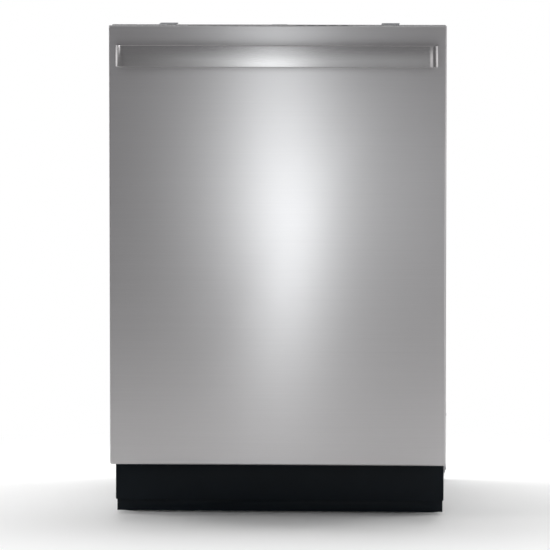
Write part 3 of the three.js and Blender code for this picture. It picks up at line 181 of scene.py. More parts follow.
def maths(tree, operation, *operands):
    """Result of a Math node; each operand is a number or a socket."""
    return node_of(tree, "ShaderNodeMath", dict(enumerate(operands)), operation=operation).outputs[0]


def start_finish(name, colour, roughness, metallic=0.0, **sockets):
    """New material with one Principled shader, its plain values set."""
    finish = bpy.data.materials.new(name)
    finish.use_nodes = True
    shader = finish.node_tree.nodes["Principled BSDF"]
    shader.inputs["Base Color"].default_value = (*colour, 1)
    shader.inputs["Roughness"].default_value = roughness
    shader.inputs["Metallic"].default_value = metallic
    for socket, value in sockets.items():
        shader.inputs[socket.replace("_", " ")].default_value = value
    return finish, finish.node_tree, shader


def floor_finish():
    """Matt floor that turns plain white with distance, for some rays."""
    finish, tree, shader = start_finish("floor", FLOOR_GREY, 0.9, Specular_IOR_Level=0.1)
    place = tree.nodes.new("ShaderNodeTexCoord").outputs["Object"]
    outwards = node_of(tree, "ShaderNodeVectorMath", {0: place}, operation="LENGTH").outputs["Value"]
    backwards = node_of(tree, "ShaderNodeSeparateXYZ", {0: place}).outputs["Y"]
    rays = tree.nodes.new("ShaderNodeLightPath").outputs
    mirrored = maths(tree, "MAXIMUM", rays["Is Glossy Ray"], rays["Is Transmission Ray"])
    shares = []
    for distance, seen_by in ((outwards, rays["Is Camera Ray"]), (backwards, mirrored)):
        limits = {"Value": distance, "From Min": WHITE_FROM, "From Max": WHITE_TO}
        far = node_of(tree, "ShaderNodeMapRange", limits, interpolation_type="SMOOTHERSTEP")
        shares.append(maths(tree, "MULTIPLY", far.outputs["Result"], seen_by))
    white = tree.nodes.new("ShaderNodeEmission").outputs[0]
    share = maths(tree, "MAXIMUM", *shares)
    mix = node_of(tree, "ShaderNodeMixShader", {0: share, 1: shader.outputs[0], 2: white})
    tree.links.new(mix.outputs[0], tree.nodes["Material Output"].inputs["Surface"])
    return finish


floor_mesh = bpy.data.meshes.new("floor")
floor_mesh.from_pydata(FLOOR_CORNERS, [], [(0, 1, 2, 3)])
floor_mesh.materials.append(floor_finish())
floor = linked("floor", floor_mesh)
world = bpy.data.worlds.new("room")
bpy.context.scene.world = world
world.use_nodes = True
room = world.node_tree.nodes["Background"]
room.inputs["Color"].default_value = ROOM_COLOUR
camera_ray = world.node_tree.nodes.new("ShaderNodeLightPath").outputs["Is Camera Ray"]
room_strength = maths(world.node_tree, "MULTIPLY_ADD", camera_ray, ROOM_FOR_CAMERA, ROOM_LIGHT)
world.node_tree.links.new(room_strength, room.inputs["Strength"])
print("floor and room ready, white from", WHITE_FROM, "to", WHITE_TO, "metres out")

# %% [markdown]
# Every finish is a small node tree. Plain values go straight onto the shader's sockets, and only what
# varies over the surface, such as grain, fibres and fine moulding texture, is driven by noise in object
# coordinates, which are metres, so that a grain keeps its real scale on every piece.

# %% Finish helpers
NOISE_LOW, NOISE_HIGH = 0.3, 0.7  # nearly all of a noise texture's values lie between these
EVEN = (1, 1, 1)


def noise(tree, scale, stretch, detail, seed=0.0):
    """Noise in object coordinates; scale is in cells per metre and stretch multiplies each axis."""
    place = tree.nodes.new("ShaderNodeTexCoord").outputs["Object"]
    shift = (seed, seed * 1.7, seed * 0.6)
    mapping = node_of(tree, "ShaderNodeMapping", {"Vector": place, "Scale": stretch, "Location": shift})
    sizes = {"Vector": mapping.outputs["Vector"], "Scale": scale, "Detail": detail}
    return node_of(tree, "ShaderNodeTexNoise", sizes).outputs["Fac"]


def ranged(tree, value, low, high, from_low=NOISE_LOW, from_high=NOISE_HIGH):
    """Map a noise value onto a range of numbers."""
    limits = {"Value": value, "From Min": from_low, "From Max": from_high, "To Min": low, "To Max": high}
    return node_of(tree, "ShaderNodeMapRange", limits).outputs["Result"]


def roughened(tree, shader, value, low, high):
    """Let the roughness run between two numbers with a noise value."""
    tree.links.new(ranged(tree, value, low, high), shader.inputs["Roughness"])


def tinted(tree, shader, value, dark, light):
    """Let the base colour run between two tones with a noise value."""
    ramp = node_of(tree, "ShaderNodeValToRGB", {"Fac": value})
    for stop, position, tone in zip(ramp.color_ramp.elements, (NOISE_LOW, NOISE_HIGH), (dark, light)):
        stop.position = position
        stop.color = (*tone, 1)
    tree.links.new(ramp.outputs["Color"], shader.inputs["Base Color"])


def bumped(tree, shader, value, depth):
    """Raise the surface by depth metres with a noise value."""
    bump = node_of(tree, "ShaderNodeBump", {"Height": value, "Distance": depth, "Strength": 1.0})
    tree.links.new(bump.outputs["Normal"], shader.inputs["Normal"])


def shade(colour, factor):
    return tuple(min(1.0, channel * factor) for channel in colour)


print("finish helpers ready")

# %% [markdown]
# Brushed stainless is drawn over a belt, so its scratches all run one way and it spreads a highlight across
# them. The shader's anisotropy does the spreading, and noise stretched along the brushing gives the fine
# streaks in tone and gloss. The door, its handle and its edges are brushed from side to side.

# %% Metal finishes
BRUSHING = (0.004, 0.5, 1)  # the noise is drawn out along X, where this number is smallest
SCRATCHES = 1600  # per metre across the brushing
STREAK = 0.03
GLOSS_DRIFT = 0.02
SCRATCH_DEPTH = 0.000002


def brushed_finish(name, colour, roughness, anisotropy):
    """Steel with scratches drawn from side to side."""
    finish, tree, shader = start_finish(
        name, colour, roughness, 1.0, Anisotropic=anisotropy, Anisotropic_Rotation=0.25
    )
    tangent = node_of(tree, "ShaderNodeTangent", direction_type="RADIAL", axis="Z")
    tree.links.new(tangent.outputs["Tangent"], shader.inputs["Tangent"])
    scratches = noise(tree, SCRATCHES, BRUSHING, 3)
    broad = ranged(tree, noise(tree, SCRATCHES / 6, BRUSHING, 2, seed=3.1), 0.1, 0.35, 0.0, 1.0)
    mixed = maths(tree, "MULTIPLY_ADD", scratches, 0.55, broad)
    tinted(tree, shader, mixed, shade(colour, 1 - STREAK), shade(colour, 1 + STREAK))
    roughened(tree, shader, mixed, roughness - GLOSS_DRIFT, roughness + GLOSS_DRIFT)
    bumped(tree, shader, scratches, SCRATCH_DEPTH)
    return finish


def plated_finish(name, colour, roughness, cell=90, mottle=0.07, pits=0.00001):
    """Zinc-plated or rolled sheet: even metal with a faint cloudiness and fine pits."""
    finish, tree, shader = start_finish(name, colour, roughness, 1.0)
    cloud = noise(tree, cell, EVEN, 4)
    tinted(tree, shader, cloud, shade(colour, 1 - mottle), shade(colour, 1 + mottle))
    spread = mottle * 0.8
    roughened(tree, shader, cloud, roughness - spread, roughness + spread)
    bumped(tree, shader, noise(tree, cell * 22, EVEN, 2, seed=1.3), pits)
    return finish


DOOR_STEEL = brushed_finish("door_steel", (0.60, 0.585, 0.59), 0.31, 0.65)
HANDLE_STEEL = brushed_finish("handle_steel", (0.42, 0.408, 0.41), 0.26, 0.6)
TUB_STEEL = plated_finish("tub_steel", (0.68, 0.685, 0.69), 0.26, 40, 0.012, 0.000001)
ZINC_STEEL = plated_finish("zinc_steel", (0.52, 0.53, 0.55), 0.38)
SPRING_STEEL = plated_finish("spring_steel", (0.42, 0.42, 0.43), 0.3, 200, 0.1)
HEATER_STEEL = plated_finish("heater_steel", (0.27, 0.25, 0.235), 0.42, 60, 0.22)
print("metals:", [DOOR_STEEL.name, HANDLE_STEEL.name, TUB_STEEL.name, ZINC_STEEL.name, HEATER_STEEL.name])

# %% [markdown]
# The moulded, coated and soft finishes share one recipe with other numbers: a base colour that drifts a
# little, a roughness that is never quite even, and a fine bump for spark-eroded mould texture, powder coat
# or fibres.

# %% Plastic, coat, rubber and felt finishes
def moulded_finish(name, colour, roughness, pebble=2600, depth=0.000012, drift=0.06, **sockets):
    """Moulded or coated surface with a fine even pebble."""
    finish, tree, shader = start_finish(name, colour, roughness, 0.0, **sockets)
    tinted(tree, shader, noise(tree, 35, EVEN, 3), shade(colour, 1 - drift), shade(colour, 1 + drift))
    grain = noise(tree, pebble, EVEN, 2, seed=2.2)
    roughened(tree, shader, grain, roughness - 0.05, roughness + 0.06)
    bumped(tree, shader, grain, depth)
    return finish


def felt_finish(name, colour):
    """Pressed fibre blanket: mottled, fully matt, with matted hair on its face."""
    finish, tree, shader = start_finish(name, colour, 0.96, 0.0, Sheen_Weight=0.35, Sheen_Roughness=0.5)
    tinted(tree, shader, noise(tree, 260, EVEN, 6), shade(colour, 0.65), shade(colour, 1.55))
    bumped(tree, shader, noise(tree, 800, EVEN, 5, seed=4.0), 0.0004)
    return finish


TOE_BLACK = moulded_finish(
    "toe_black", (0.0028, 0.0055, 0.0085), 0.42, 1800, 0.00002, 0.1, Specular_IOR_Level=0.13
)
CONSOLE_GREY = moulded_finish("console_grey", (0.19, 0.19, 0.192), 0.5, Specular_IOR_Level=0.2)
KEY_BLACK = moulded_finish("key_black", (0.012, 0.012, 0.013), 0.38)
DISPLAY_DARK = moulded_finish("display_dark", (0.006, 0.007, 0.009), 0.09, 400, 0.000002, 0.05, Coat_Weight=0.5)
SEAL_RUBBER = moulded_finish("seal_rubber", (0.022, 0.022, 0.024), 0.62, 900, 0.00003, 0.12)
RACK_NYLON = moulded_finish("rack_nylon", (0.27, 0.285, 0.305), 0.33, 1500, 0.000012, 0.04)
SPRAY_GREY = moulded_finish("spray_grey", (0.46, 0.475, 0.49), 0.4)
SUMP_GREY = moulded_finish("sump_grey", (0.13, 0.134, 0.14), 0.46)
PUMP_BLACK = moulded_finish("pump_black", (0.02, 0.02, 0.022), 0.45)
CAP_BLUE = moulded_finish("cap_blue", (0.035, 0.14, 0.32), 0.36)
FELT_GREY = felt_finish("blanket_felt", (0.055, 0.055, 0.058))
print("coated, moulded and soft finishes ready")

# %% [markdown]
# A plain construction solid has knife edges, and a real pressing or moulding never has. The dresser takes a
# copy of such a solid, merges its triangles back into faces, rounds every hard edge by a fraction of a
# millimetre and shades it smooth, so that edges catch the light. The copy rides on the same body and stands
# in for the original.

# %% Dresser
def finish_mesh(mesh, finish, angle):
    """Shade smooth except over edges sharper than the angle, and give the mesh its only material."""
    mesh.materials.clear()
    mesh.materials.append(finish)
    mesh.shade_smooth()
    mesh.set_sharp_from_angle(angle=math.radians(angle))


def add_piece(name, mesh, finish, body, stands_for=(), angle=38):
    """Link a finished mesh as a piece that rides on a body, or on none."""
    finish_mesh(mesh, finish, angle)
    piece = linked(name, mesh)
    if body:
        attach(piece, body)
    if stands_for:
        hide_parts(*stands_for)
    return piece


def stand_in(name, node, mesh, finish, angle=38):
    """Piece that takes a construction node's place and rides on the node's own body."""
    return add_piece(name, mesh, finish, body_of[node], (node,), angle)


def evaluated_mesh(item):
    """Plain mesh of an object with its modifiers applied; the object itself is removed."""
    bpy.context.view_layer.update()
    mesh = bpy.data.meshes.new_from_object(item.evaluated_get(bpy.context.evaluated_depsgraph_get()))
    bpy.data.objects.remove(item)
    return mesh


def edged(mesh, width, segments, limit):
    """Round the hard edges of a mesh."""
    item = linked("edging", mesh)
    bevel = item.modifiers.new("edge", "BEVEL")
    bevel.width = width
    bevel.segments = segments
    bevel.limit_method = "ANGLE"
    bevel.angle_limit = math.radians(limit)
    bevel.use_clamp_overlap = True
    return evaluated_mesh(item)


MERGE_DISTANCE = 0.000002
FLAT_ANGLE = math.radians(1.0)


def dressed(node, finish, edge, segments=2, limit=28):
    """Stand a rounded, smooth copy of a construction solid in its place."""
    mesh = bpy.data.meshes.new(node)
    shape = bmesh.new()
    shape.from_mesh(nodes[node].data)
    bmesh.ops.remove_doubles(shape, verts=shape.verts, dist=MERGE_DISTANCE)
    bmesh.ops.dissolve_limit(
        shape, angle_limit=FLAT_ANGLE, use_dissolve_boundaries=False, verts=shape.verts, edges=shape.edges
    )
    shape.to_mesh(mesh)
    shape.free()
    return stand_in(node + "_skin", node, edged(mesh, edge, segments, limit), finish)


print("dresser ready for", len(nodes), "nodes")

# %% [markdown]
# Most parts of the machine are sheet bent or plastic moulded to a plan, so a few shape makers cover them: a
# flat outline pushed along an axis, a turned profile, a box with chosen edges rounded, and a way to merge
# them.

# %% Shape makers
def arc(x, y, radius, start, end, steps):
    """Points of an arc in a plane; the angles are in degrees."""
    turns = [math.radians(start + (end - start) * i / steps) for i in range(steps + 1)]
    return [(x + radius * math.cos(turn), y + radius * math.sin(turn)) for turn in turns]


def rounded_outline(x0, x1, y0, y1, radius, steps=6):
    """Rectangle with rounded corners, counter-clockwise."""
    if radius <= 0:
        return [(x0, y0), (x1, y0), (x1, y1), (x0, y1)]
    return (
        arc(x1 - radius, y0 + radius, radius, -90, 0, steps)
        + arc(x1 - radius, y1 - radius, radius, 0, 90, steps)
        + arc(x0 + radius, y1 - radius, radius, 90, 180, steps)
        + arc(x0 + radius, y0 + radius, radius, 180, 270, steps)
    )


AXIS_PLACE = {
    "x": lambda u, v, w: (w, u, v),
    "y": lambda u, v, w: (u, w, v),
    "z": lambda u, v, w: (u, v, w),
}


def skinned(rings, peak=None):
    """Closed solid through rings of points; a peak closes the last ring to one point."""
    shape = bmesh.new()
    loops = [[shape.verts.new(point) for point in ring] for ring in rings]
    for lower, upper in zip(loops, loops[1:]):
        for i in range(len(lower)):
            j = (i + 1) % len(lower)
            shape.faces.new((lower[i], lower[j], upper[j], upper[i]))
    if peak:
        tip = shape.verts.new(peak)
        for i in range(len(loops[-1])):
            shape.faces.new((loops[-1][i], loops[-1][(i + 1) % len(loops[-1])], tip))
    else:
        shape.faces.new(loops[-1])
    shape.faces.new(loops[0])
    bmesh.ops.recalc_face_normals(shape, faces=shape.faces)
    return shape


def pushed(outline, axis, start, end):
    """Solid between two copies of an outline; X outlines are (y, z), Y outlines (x, z), Z outlines (x, y)."""
    place = AXIS_PLACE[axis]
    return skinned([[place(u, v, level) for u, v in outline] for level in (start, end)])


def round_points(x, y, radius, count, start=0.0):
    """Evenly spaced points round a centre; start is in steps."""
    turns = [math.tau * (i + start) / count for i in range(count)]
    return [(x + radius * math.cos(turn), y + radius * math.sin(turn)) for turn in turns]


def turned(profile, axis, centre, steps):
    """Solid of revolution; the profile's points are (radius, distance along the axis) from end to end."""
    shape = bmesh.new()
    cx, cy, cz = centre
    rings = []
    for radius, level in profile:
        ring = []
        for i in range(steps if radius > 0 else 1):
            turn = math.tau * i / steps
            u, v = radius * math.cos(turn), radius * math.sin(turn)
            x, y, z = {"x": (level, u, v), "y": (u, level, v), "z": (u, v, level)}[axis]
            ring.append(shape.verts.new((cx + x, cy + y, cz + z)))
        rings.append(ring)
    for lower, upper in zip(rings, rings[1:]):
        for i in range(steps):
            j = (i + 1) % steps
            corners = [lower[i % len(lower)], lower[j % len(lower)]]
            corners += [upper[j % len(upper)], upper[i % len(upper)]]
            face = list(dict.fromkeys(corners))
            if len(face) > 2:
                shape.faces.new(face)
    for ring in (rings[0], rings[-1]):
        if len(ring) > 1 and rings[0] is not rings[-1] and profile[0] != profile[-1]:
            shape.faces.new(ring)
    bmesh.ops.remove_doubles(shape, verts=shape.verts, dist=0.0000005)
    bmesh.ops.recalc_face_normals(shape, faces=shape.faces)
    return shape


def box_shape(low, high):
    return pushed(rounded_outline(low[0], high[0], low[1], high[1], 0), "z", low[2], high[2])


def merged(*shapes):
    """One mesh from several closed shapes."""
    mesh = bpy.data.meshes.new("merged")
    whole = bmesh.new()
    for shape in shapes:
        part = bpy.data.meshes.new("part")
        shape.to_mesh(part)
        shape.free()
        whole.from_mesh(part)
        bpy.data.meshes.remove(part)
    whole.to_mesh(mesh)
    whole.free()
    return mesh


def span(node):
    """Lowest and highest corner of a construction node at rest."""
    return [Vector(corner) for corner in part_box(node)]


def centre_of(node):
    """Middle of a construction node's box at rest."""
    low, high = span(node)
    return (low + high) / 2


print("shape makers ready")

# %% [markdown]
# The door's skin is one sheet of stainless, folded back at both sides and underneath round a 3 mm radius,
# and hemmed tightly along its top. A box with those edges rounded, opened at the back and top and then
# given the thickness of the sheet, is that pressing. The rounded folds are what draws a bright line round
# the door.

# %% Door skin
SKIN_THICKNESS = 0.0012
FOLD_RADIUS = 0.003
HEM_RADIUS = 0.0012
TOUCHING = 0.00001


def near(value, limit):
    return abs(value - limit) < TOUCHING


def thickened(mesh, thickness, offset=0.0):
    """Give an open net of faces the thickness of its wall; offset -1 grows it inwards."""
    item = linked("wall", mesh)
    wall = item.modifiers.new("wall", "SOLIDIFY")
    wall.thickness = thickness
    wall.offset = offset
    wall.use_even_offset = True
    return evaluated_mesh(item)


def door_skin():
    low, high = span("door_outer_panel")
    shape = box_shape(low, high)

    def edges_at(test):
        return [edge for edge in shape.edges if all(test(vert.co) for vert in edge.verts)]

    hem = edges_at(lambda place: near(place.y, low.y) and near(place.z, high.z))
    bmesh.ops.bevel(shape, geom=hem, offset=HEM_RADIUS, segments=4, profile=0.5, affect="EDGES")
    folds = edges_at(lambda place: near(place.y, low.y) and (near(place.z, low.z) or place.z > low.z))
    folds = [edge for edge in folds if near(edge.verts[0].co.x, edge.verts[1].co.x)]
    folds += edges_at(lambda place: near(place.z, low.z) and near(place.y, low.y))
    folds += edges_at(lambda place: near(place.z, low.z) and near(abs(place.x), high.x))
    bmesh.ops.bevel(shape, geom=list(set(folds)), offset=FOLD_RADIUS, segments=6, profile=0.5, affect="EDGES")
    opened = [
        face
        for face in shape.faces
        if near(face.calc_center_median().y, high.y)
        or (near(face.calc_center_median().z, high.z) and abs(face.normal.z) > 0.99)
    ]
    bmesh.ops.delete(shape, geom=opened, context="FACES")
    bmesh.ops.recalc_face_normals(shape, faces=shape.faces)
    return thickened(merged(shape), SKIN_THICKNESS, -1)


skin = stand_in("door_skin", "door_outer_panel", door_skin(), DOOR_STEEL, 50)
print("door skin:", len(skin.data.polygons), "faces")

# %% [markdown]
# The handle is a flat bar, 39 mm tall and 6 mm thick, bent round at each end and bolted through the door
# from inside, so that no screw shows. A path with a section swept along it could make it too, but its
# outline from above is simpler: drawn once, pushed up to the bar's height and softened along every long
# edge.

# %% Handle
HANDLE_THICKNESS = 0.006
HANDLE_BEND = 0.016
HANDLE_EDGE = 0.001


def bow_outline(low, high):
    """Outline of the bent bar seen from above, feet towards the door."""
    bend, thick, foot = HANDLE_BEND, HANDLE_THICKNESS, high.y
    outer = [(low.x, foot)] + arc(low.x + bend, low.y + bend, bend, 180, 270, 14)
    outer += arc(high.x - bend, low.y + bend, bend, 270, 360, 14) + [(high.x, foot)]
    inner = [(high.x - thick, foot)] + arc(high.x - bend, low.y + bend, bend - thick, 360, 270, 14)
    inner += arc(low.x + bend, low.y + bend, bend - thick, 270, 180, 14) + [(low.x + thick, foot)]
    return outer + inner


handle_low, handle_high = span("door_handle")
bar = merged(pushed(bow_outline(handle_low, handle_high), "z", handle_low.z, handle_high.z))
handle = stand_in("handle_bar", "door_handle", edged(bar, HANDLE_EDGE, 3, 60), HANDLE_STEEL, 50)
print("handle:", len(handle.data.polygons), "faces,", round(handle_high.x - handle_low.x, 3), "m long")

# %% [markdown]
# The control strip is only seen from above, a dark grey moulding behind the top hem of the skin. Its wells
# hold five keys, a tinted window and three lamp lenses. The moulding keeps its construction shape with
# softened edges, each key gets a shallow dish, and the lenses are small domes set in the wells.

# %% Control strip
LENS_WHITE = moulded_finish("lens_white", (0.62, 0.64, 0.62), 0.2, 900, 0.000002, 0.03, Emission_Strength=0.25)
LENS_WHITE.node_tree.nodes["Principled BSDF"].inputs["Emission Color"].default_value = (0.8, 0.9, 0.85, 1)
LENS_PLACES = (0.182, 0.203, 0.224)
LENS_DEPTH = 0.0002
LENS_PROFILE = [
    (0, -0.0011), (0.0016, -0.0011), (0.0016, -0.0005), (0.0012, -0.0001), (0.0006, 0.0001), (0, 0.0002),
]
KEY_CORNER = 0.0015
KEY_DISH = 0.0004


def dished_key(node):
    """Key with a softened rim and a shallow dish in its top."""
    low, high = span(node)
    rings = []
    for inset, level in (
        (0, low.z), (0, high.z - 0.0005), (0.0005, high.z), (0.0011, high.z), (0.003, high.z - KEY_DISH),
    ):
        corner = max(KEY_CORNER - inset * 0.4, 0.0004)
        outline = rounded_outline(low.x + inset, high.x - inset, low.y + inset, high.y - inset, corner, 4)
        rings.append([(x, y, level) for x, y in outline])
    middle = centre_of(node)
    return merged(skinned(rings, (middle.x, middle.y, high.z - KEY_DISH * 1.3)))


dressed("control_console", CONSOLE_GREY, 0.0004)
for number in range(1, 6):
    key = f"control_button_{number}"
    stand_in(f"key_{number}", key, dished_key(key), KEY_BLACK, 45)
dressed("display_window", DISPLAY_DARK, 0.0004, 3)
lens_y = centre_of("control_button_1").y
lens_z = span("control_console")[1].z - LENS_DEPTH
lenses = [turned(LENS_PROFILE, "z", (x, lens_y, lens_z), 20) for x in LENS_PLACES]
add_piece("lamp_lenses", merged(*lenses), LENS_WHITE, "door")
print("control strip dressed, lenses at height", round(lens_z, 4))

# %% [markdown]
# Under the door the toe space is closed by two black coated sheets: a tray-edged access panel, and a lower
# panel that slides up and down on three slots. Each slot has the hex-washer screw that clamps it. Screws
# turn up all over the machine, so one Geometry Nodes tree makes them: a washer head with a hexagon on it,
# set on every point of a list and turned to that point's direction. The helpers here open and close such a
# tree, and apply it to a mesh.

# %% Tree helpers
def start_tree(name, sizes=None):
    """Node tree with a geometry, named sizes and a finish going in and a geometry coming out."""
    tree = bpy.data.node_groups.new(name, "GeometryNodeTree")
    tree.interface.new_socket("Geometry", in_out="INPUT", socket_type="NodeSocketGeometry")
    tree.interface.new_socket("Geometry", in_out="OUTPUT", socket_type="NodeSocketGeometry")
    for label, value in (sizes or {}).items():
        kind = "NodeSocketInt" if isinstance(value, int) else "NodeSocketFloat"
        tree.interface.new_socket(label, in_out="INPUT", socket_type=kind).default_value = value
    tree.interface.new_socket("Finish", in_out="INPUT", socket_type="NodeSocketMaterial")
    return tree, tree.nodes.new("NodeGroupInput").outputs


def finish_tree(tree, geometry, given):
    """End a tree the way every one here ends: real geometry with its material set."""
    real = node_of(tree, "GeometryNodeRealizeInstances", {"Geometry": geometry}).outputs[0]
    coated = node_of(tree, "GeometryNodeSetMaterial", {"Geometry": real, "Material": given["Finish"]})
    tree.links.new(coated.outputs[0], tree.nodes.new("NodeGroupOutput").inputs[0])
    return tree


def joined(tree, *parts):
    """Geometry of several sockets joined."""
    whole = node_of(tree, "GeometryNodeJoinGeometry")
    for part in parts:
        tree.links.new(part, whole.inputs[0])
    return whole.outputs[0]


def stored_vector(tree, name):
    """Vector stored on each point under a name."""
    return node_of(tree, "GeometryNodeInputNamedAttribute", {"Name": name}, data_type="FLOAT_VECTOR").outputs[0]


def facing_copies(tree, given, item, **more):
    """Copy of an item on every point, its Z axis turned to the direction stored there."""
    turn = node_of(
        tree, "FunctionNodeAlignRotationToVector", {"Vector": stored_vector(tree, "facing")}, axis="Z"
    )
    copies = {"Points": given["Geometry"], "Instance": item, "Rotation": turn.outputs[0], **more}
    return node_of(tree, "GeometryNodeInstanceOnPoints", copies).outputs[0]


def grown(mesh, tree, **values):
    """Plain mesh that a node tree grows from a mesh; values are given by the tree's input names."""
    item = linked("grown", mesh)
    modifier = item.modifiers.new("grown", "NODES")
    modifier.node_group = tree
    for socket in tree.interface.items_tree:
        label = socket.name.replace(" ", "_")
        if socket.in_out == "INPUT" and label in values:
            modifier[socket.identifier] = values[label]
    return evaluated_mesh(item)


def points_mesh(points, **vectors):
    """Mesh of loose points with vectors stored on them by name."""
    mesh = bpy.data.meshes.new("points")
    mesh.from_pydata([tuple(point) for point in points], [], [])
    for name, values in vectors.items():
        stored = mesh.attributes.new(name, "FLOAT_VECTOR", "POINT")
        for item, value in zip(stored.data, values):
            item.vector = value
    return mesh


print("tree helpers ready")

# %% [markdown]
# The screw tree takes loose points. On each point it sets a flanged hexagon head built from three short
# prisms: a tapered washer, the hexagon, and a chamfer on top. The heads are turned so that they face along
# the direction stored on their point.

# %% Screw heads
HEAD_PRISMS = (  # sides, then foot radius, top radius, depth and start as shares of the head's own
    (20, 1.0, 0.82, 0.34, 0.0),
    (6, 0.62, 0.62, 0.5, 0.34),
    (6, 0.62, 0.5, 0.16, 0.84),
)


def screw_tree():
    tree, given = start_tree("screw_heads", {"Radius": 0.004, "Height": 0.0028})
    parts = []
    for sides, foot, top, depth, start in HEAD_PRISMS:
        sizes = {
            "Vertices": sides,
            "Radius Bottom": maths(tree, "MULTIPLY", given["Radius"], foot),
            "Radius Top": maths(tree, "MULTIPLY", given["Radius"], top),
            "Depth": maths(tree, "MULTIPLY", given["Height"], depth),
        }
        cone = node_of(tree, "GeometryNodeMeshCone", sizes).outputs["Mesh"]
        lift = node_of(tree, "ShaderNodeCombineXYZ", {"Z": maths(tree, "MULTIPLY", given["Height"], start)})
        raised = node_of(tree, "GeometryNodeTransform", {"Geometry": cone, "Translation": lift.outputs[0]})
        parts.append(raised.outputs[0])
    return finish_tree(tree, facing_copies(tree, given, joined(tree, *parts)), given)


SCREW_TREE = screw_tree()


def screws(name, spots, finish, body, radius=0.004, height=0.0028):
    """One piece holding every screw of a list of (point, direction)."""
    points = points_mesh([spot[0] for spot in spots], facing=[spot[1] for spot in spots])
    return add_piece(name, grown(points, SCREW_TREE, Radius=radius, Height=height, Finish=finish), finish, body)


print("screw tree has", len(SCREW_TREE.nodes), "nodes")

# %% [markdown]
# Both toe space sheets keep their construction shapes with softened folds. Satin black coating with a cold
# cast covers them, and the three clamping screws sit in the lower panel's slots.

# %% Toe space
SLOT_DROP = 0.014  # from the toe panel's top edge to its slots
TOE_SCREW_PLACES = (-0.23, 0, 0.23)
dressed("access_panel", TOE_BLACK, 0.001, 3)
dressed("toe_panel", TOE_BLACK, 0.0004)
toe_low, toe_high = span("toe_panel")
toe_spots = [((x, toe_low.y + 0.0002, toe_high.z - SLOT_DROP), (0, -1, 0)) for x in TOE_SCREW_PLACES]
screws("toe_screws", toe_spots, TOE_BLACK, "machine")
print("toe space closed from", round(toe_low.z, 3), "to", round(span("access_panel")[1].z, 3))

# %% [markdown]
# Dish racks are welded from steel wire and dipped in nylon, so every wire is a rod with rounded bends and
# ends. Each wire is drawn as a chain of points, and one tree turns all of them into coated rods: it rounds
# the corners, sweeps a circle along each chain and sets a small ball on every free end.

# %% Wire tree
def wire_tree():
    tree, given = start_tree("coated_wire", {"Radius": 0.0019, "Bend": 0.01, "Bend Steps": 4, "Sides": 8})
    paths = node_of(tree, "GeometryNodeMeshToCurve", {"Mesh": given["Geometry"]}).outputs[0]
    bends = {"Curve": paths, "Radius": given["Bend"], "Count": given["Bend Steps"], "Limit Radius": True}
    rounded = node_of(tree, "GeometryNodeFilletCurve", bends, mode="POLY").outputs[0]
    circle = {"Resolution": given["Sides"], "Radius": given["Radius"]}
    section = node_of(tree, "GeometryNodeCurvePrimitiveCircle", circle).outputs[0]
    sweep = {"Curve": rounded, "Profile Curve": section, "Fill Caps": True}
    rods = node_of(tree, "GeometryNodeCurveToMesh", sweep).outputs[0]
    ends = node_of(tree, "GeometryNodeCurveEndpointSelection").outputs[0]
    ball = node_of(tree, "GeometryNodeMeshUVSphere", {"Segments": 8, "Rings": 5, "Radius": given["Radius"]})
    copies = {"Points": paths, "Selection": ends, "Instance": ball.outputs["Mesh"]}
    tips = node_of(tree, "GeometryNodeInstanceOnPoints", copies).outputs[0]
    return finish_tree(tree, joined(tree, rods, tips), given)


WIRE_TREE = wire_tree()


def chains_mesh(chains):
    """Mesh of edge chains; a closed chain repeats its first point."""
    mesh = bpy.data.meshes.new("chains")
    points, edges = [], []
    for chain in chains:
        first = len(points)
        closed = tuple(chain[0]) == tuple(chain[-1])
        own = chain[:-1] if closed else chain
        points += [tuple(point) for point in own]
        edges += [(first + i, first + i + 1) for i in range(len(own) - 1)]
        if closed:
            edges.append((first + len(own) - 1, first))
    mesh.from_pydata(points, edges, [])
    return mesh


def wires(chains, radius, finish, bend=0.01, steps=4, sides=8):
    """Plain mesh of coated rods along chains of points."""
    sizes = {"Radius": radius, "Bend": bend, "Bend_Steps": steps, "Sides": sides}
    return grown(chains_mesh(chains), WIRE_TREE, Finish=finish, **sizes)


def with_meshes(*meshes):
    """One mesh from several."""
    whole = bmesh.new()
    for mesh in meshes:
        whole.from_mesh(mesh)
        bpy.data.meshes.remove(mesh)
    result = bpy.data.meshes.new("joined")
    whole.to_mesh(result)
    whole.free()
    return result


print("wire tree has", len(WIRE_TREE.nodes), "nodes")

# %% [markdown]
# Both racks follow one rule: U-shaped cross wires, lengthwise wires laid over them and chamfered under the
# front, a rim and side loops, and rows of upright tines. The numbers are those of the construction solids.
# The shown rack has many more wires than the solid one, at the spacing that keeps a teaspoon from falling
# through.

# %% Rack wires
MAIN_WIRE = 0.0019
FINE_WIRE = 0.0015
CORNER = 0.036
RIM_HALF, FLOOR_HALF = 0.25, 0.238
RACK_FRONT, RACK_BACK = -0.196, 0.278
LAID_OVER = 0.003  # from a cross wire's middle to the middle of the wires on it
CROSS_WIRES, LENGTH_WIRES = 14, 17


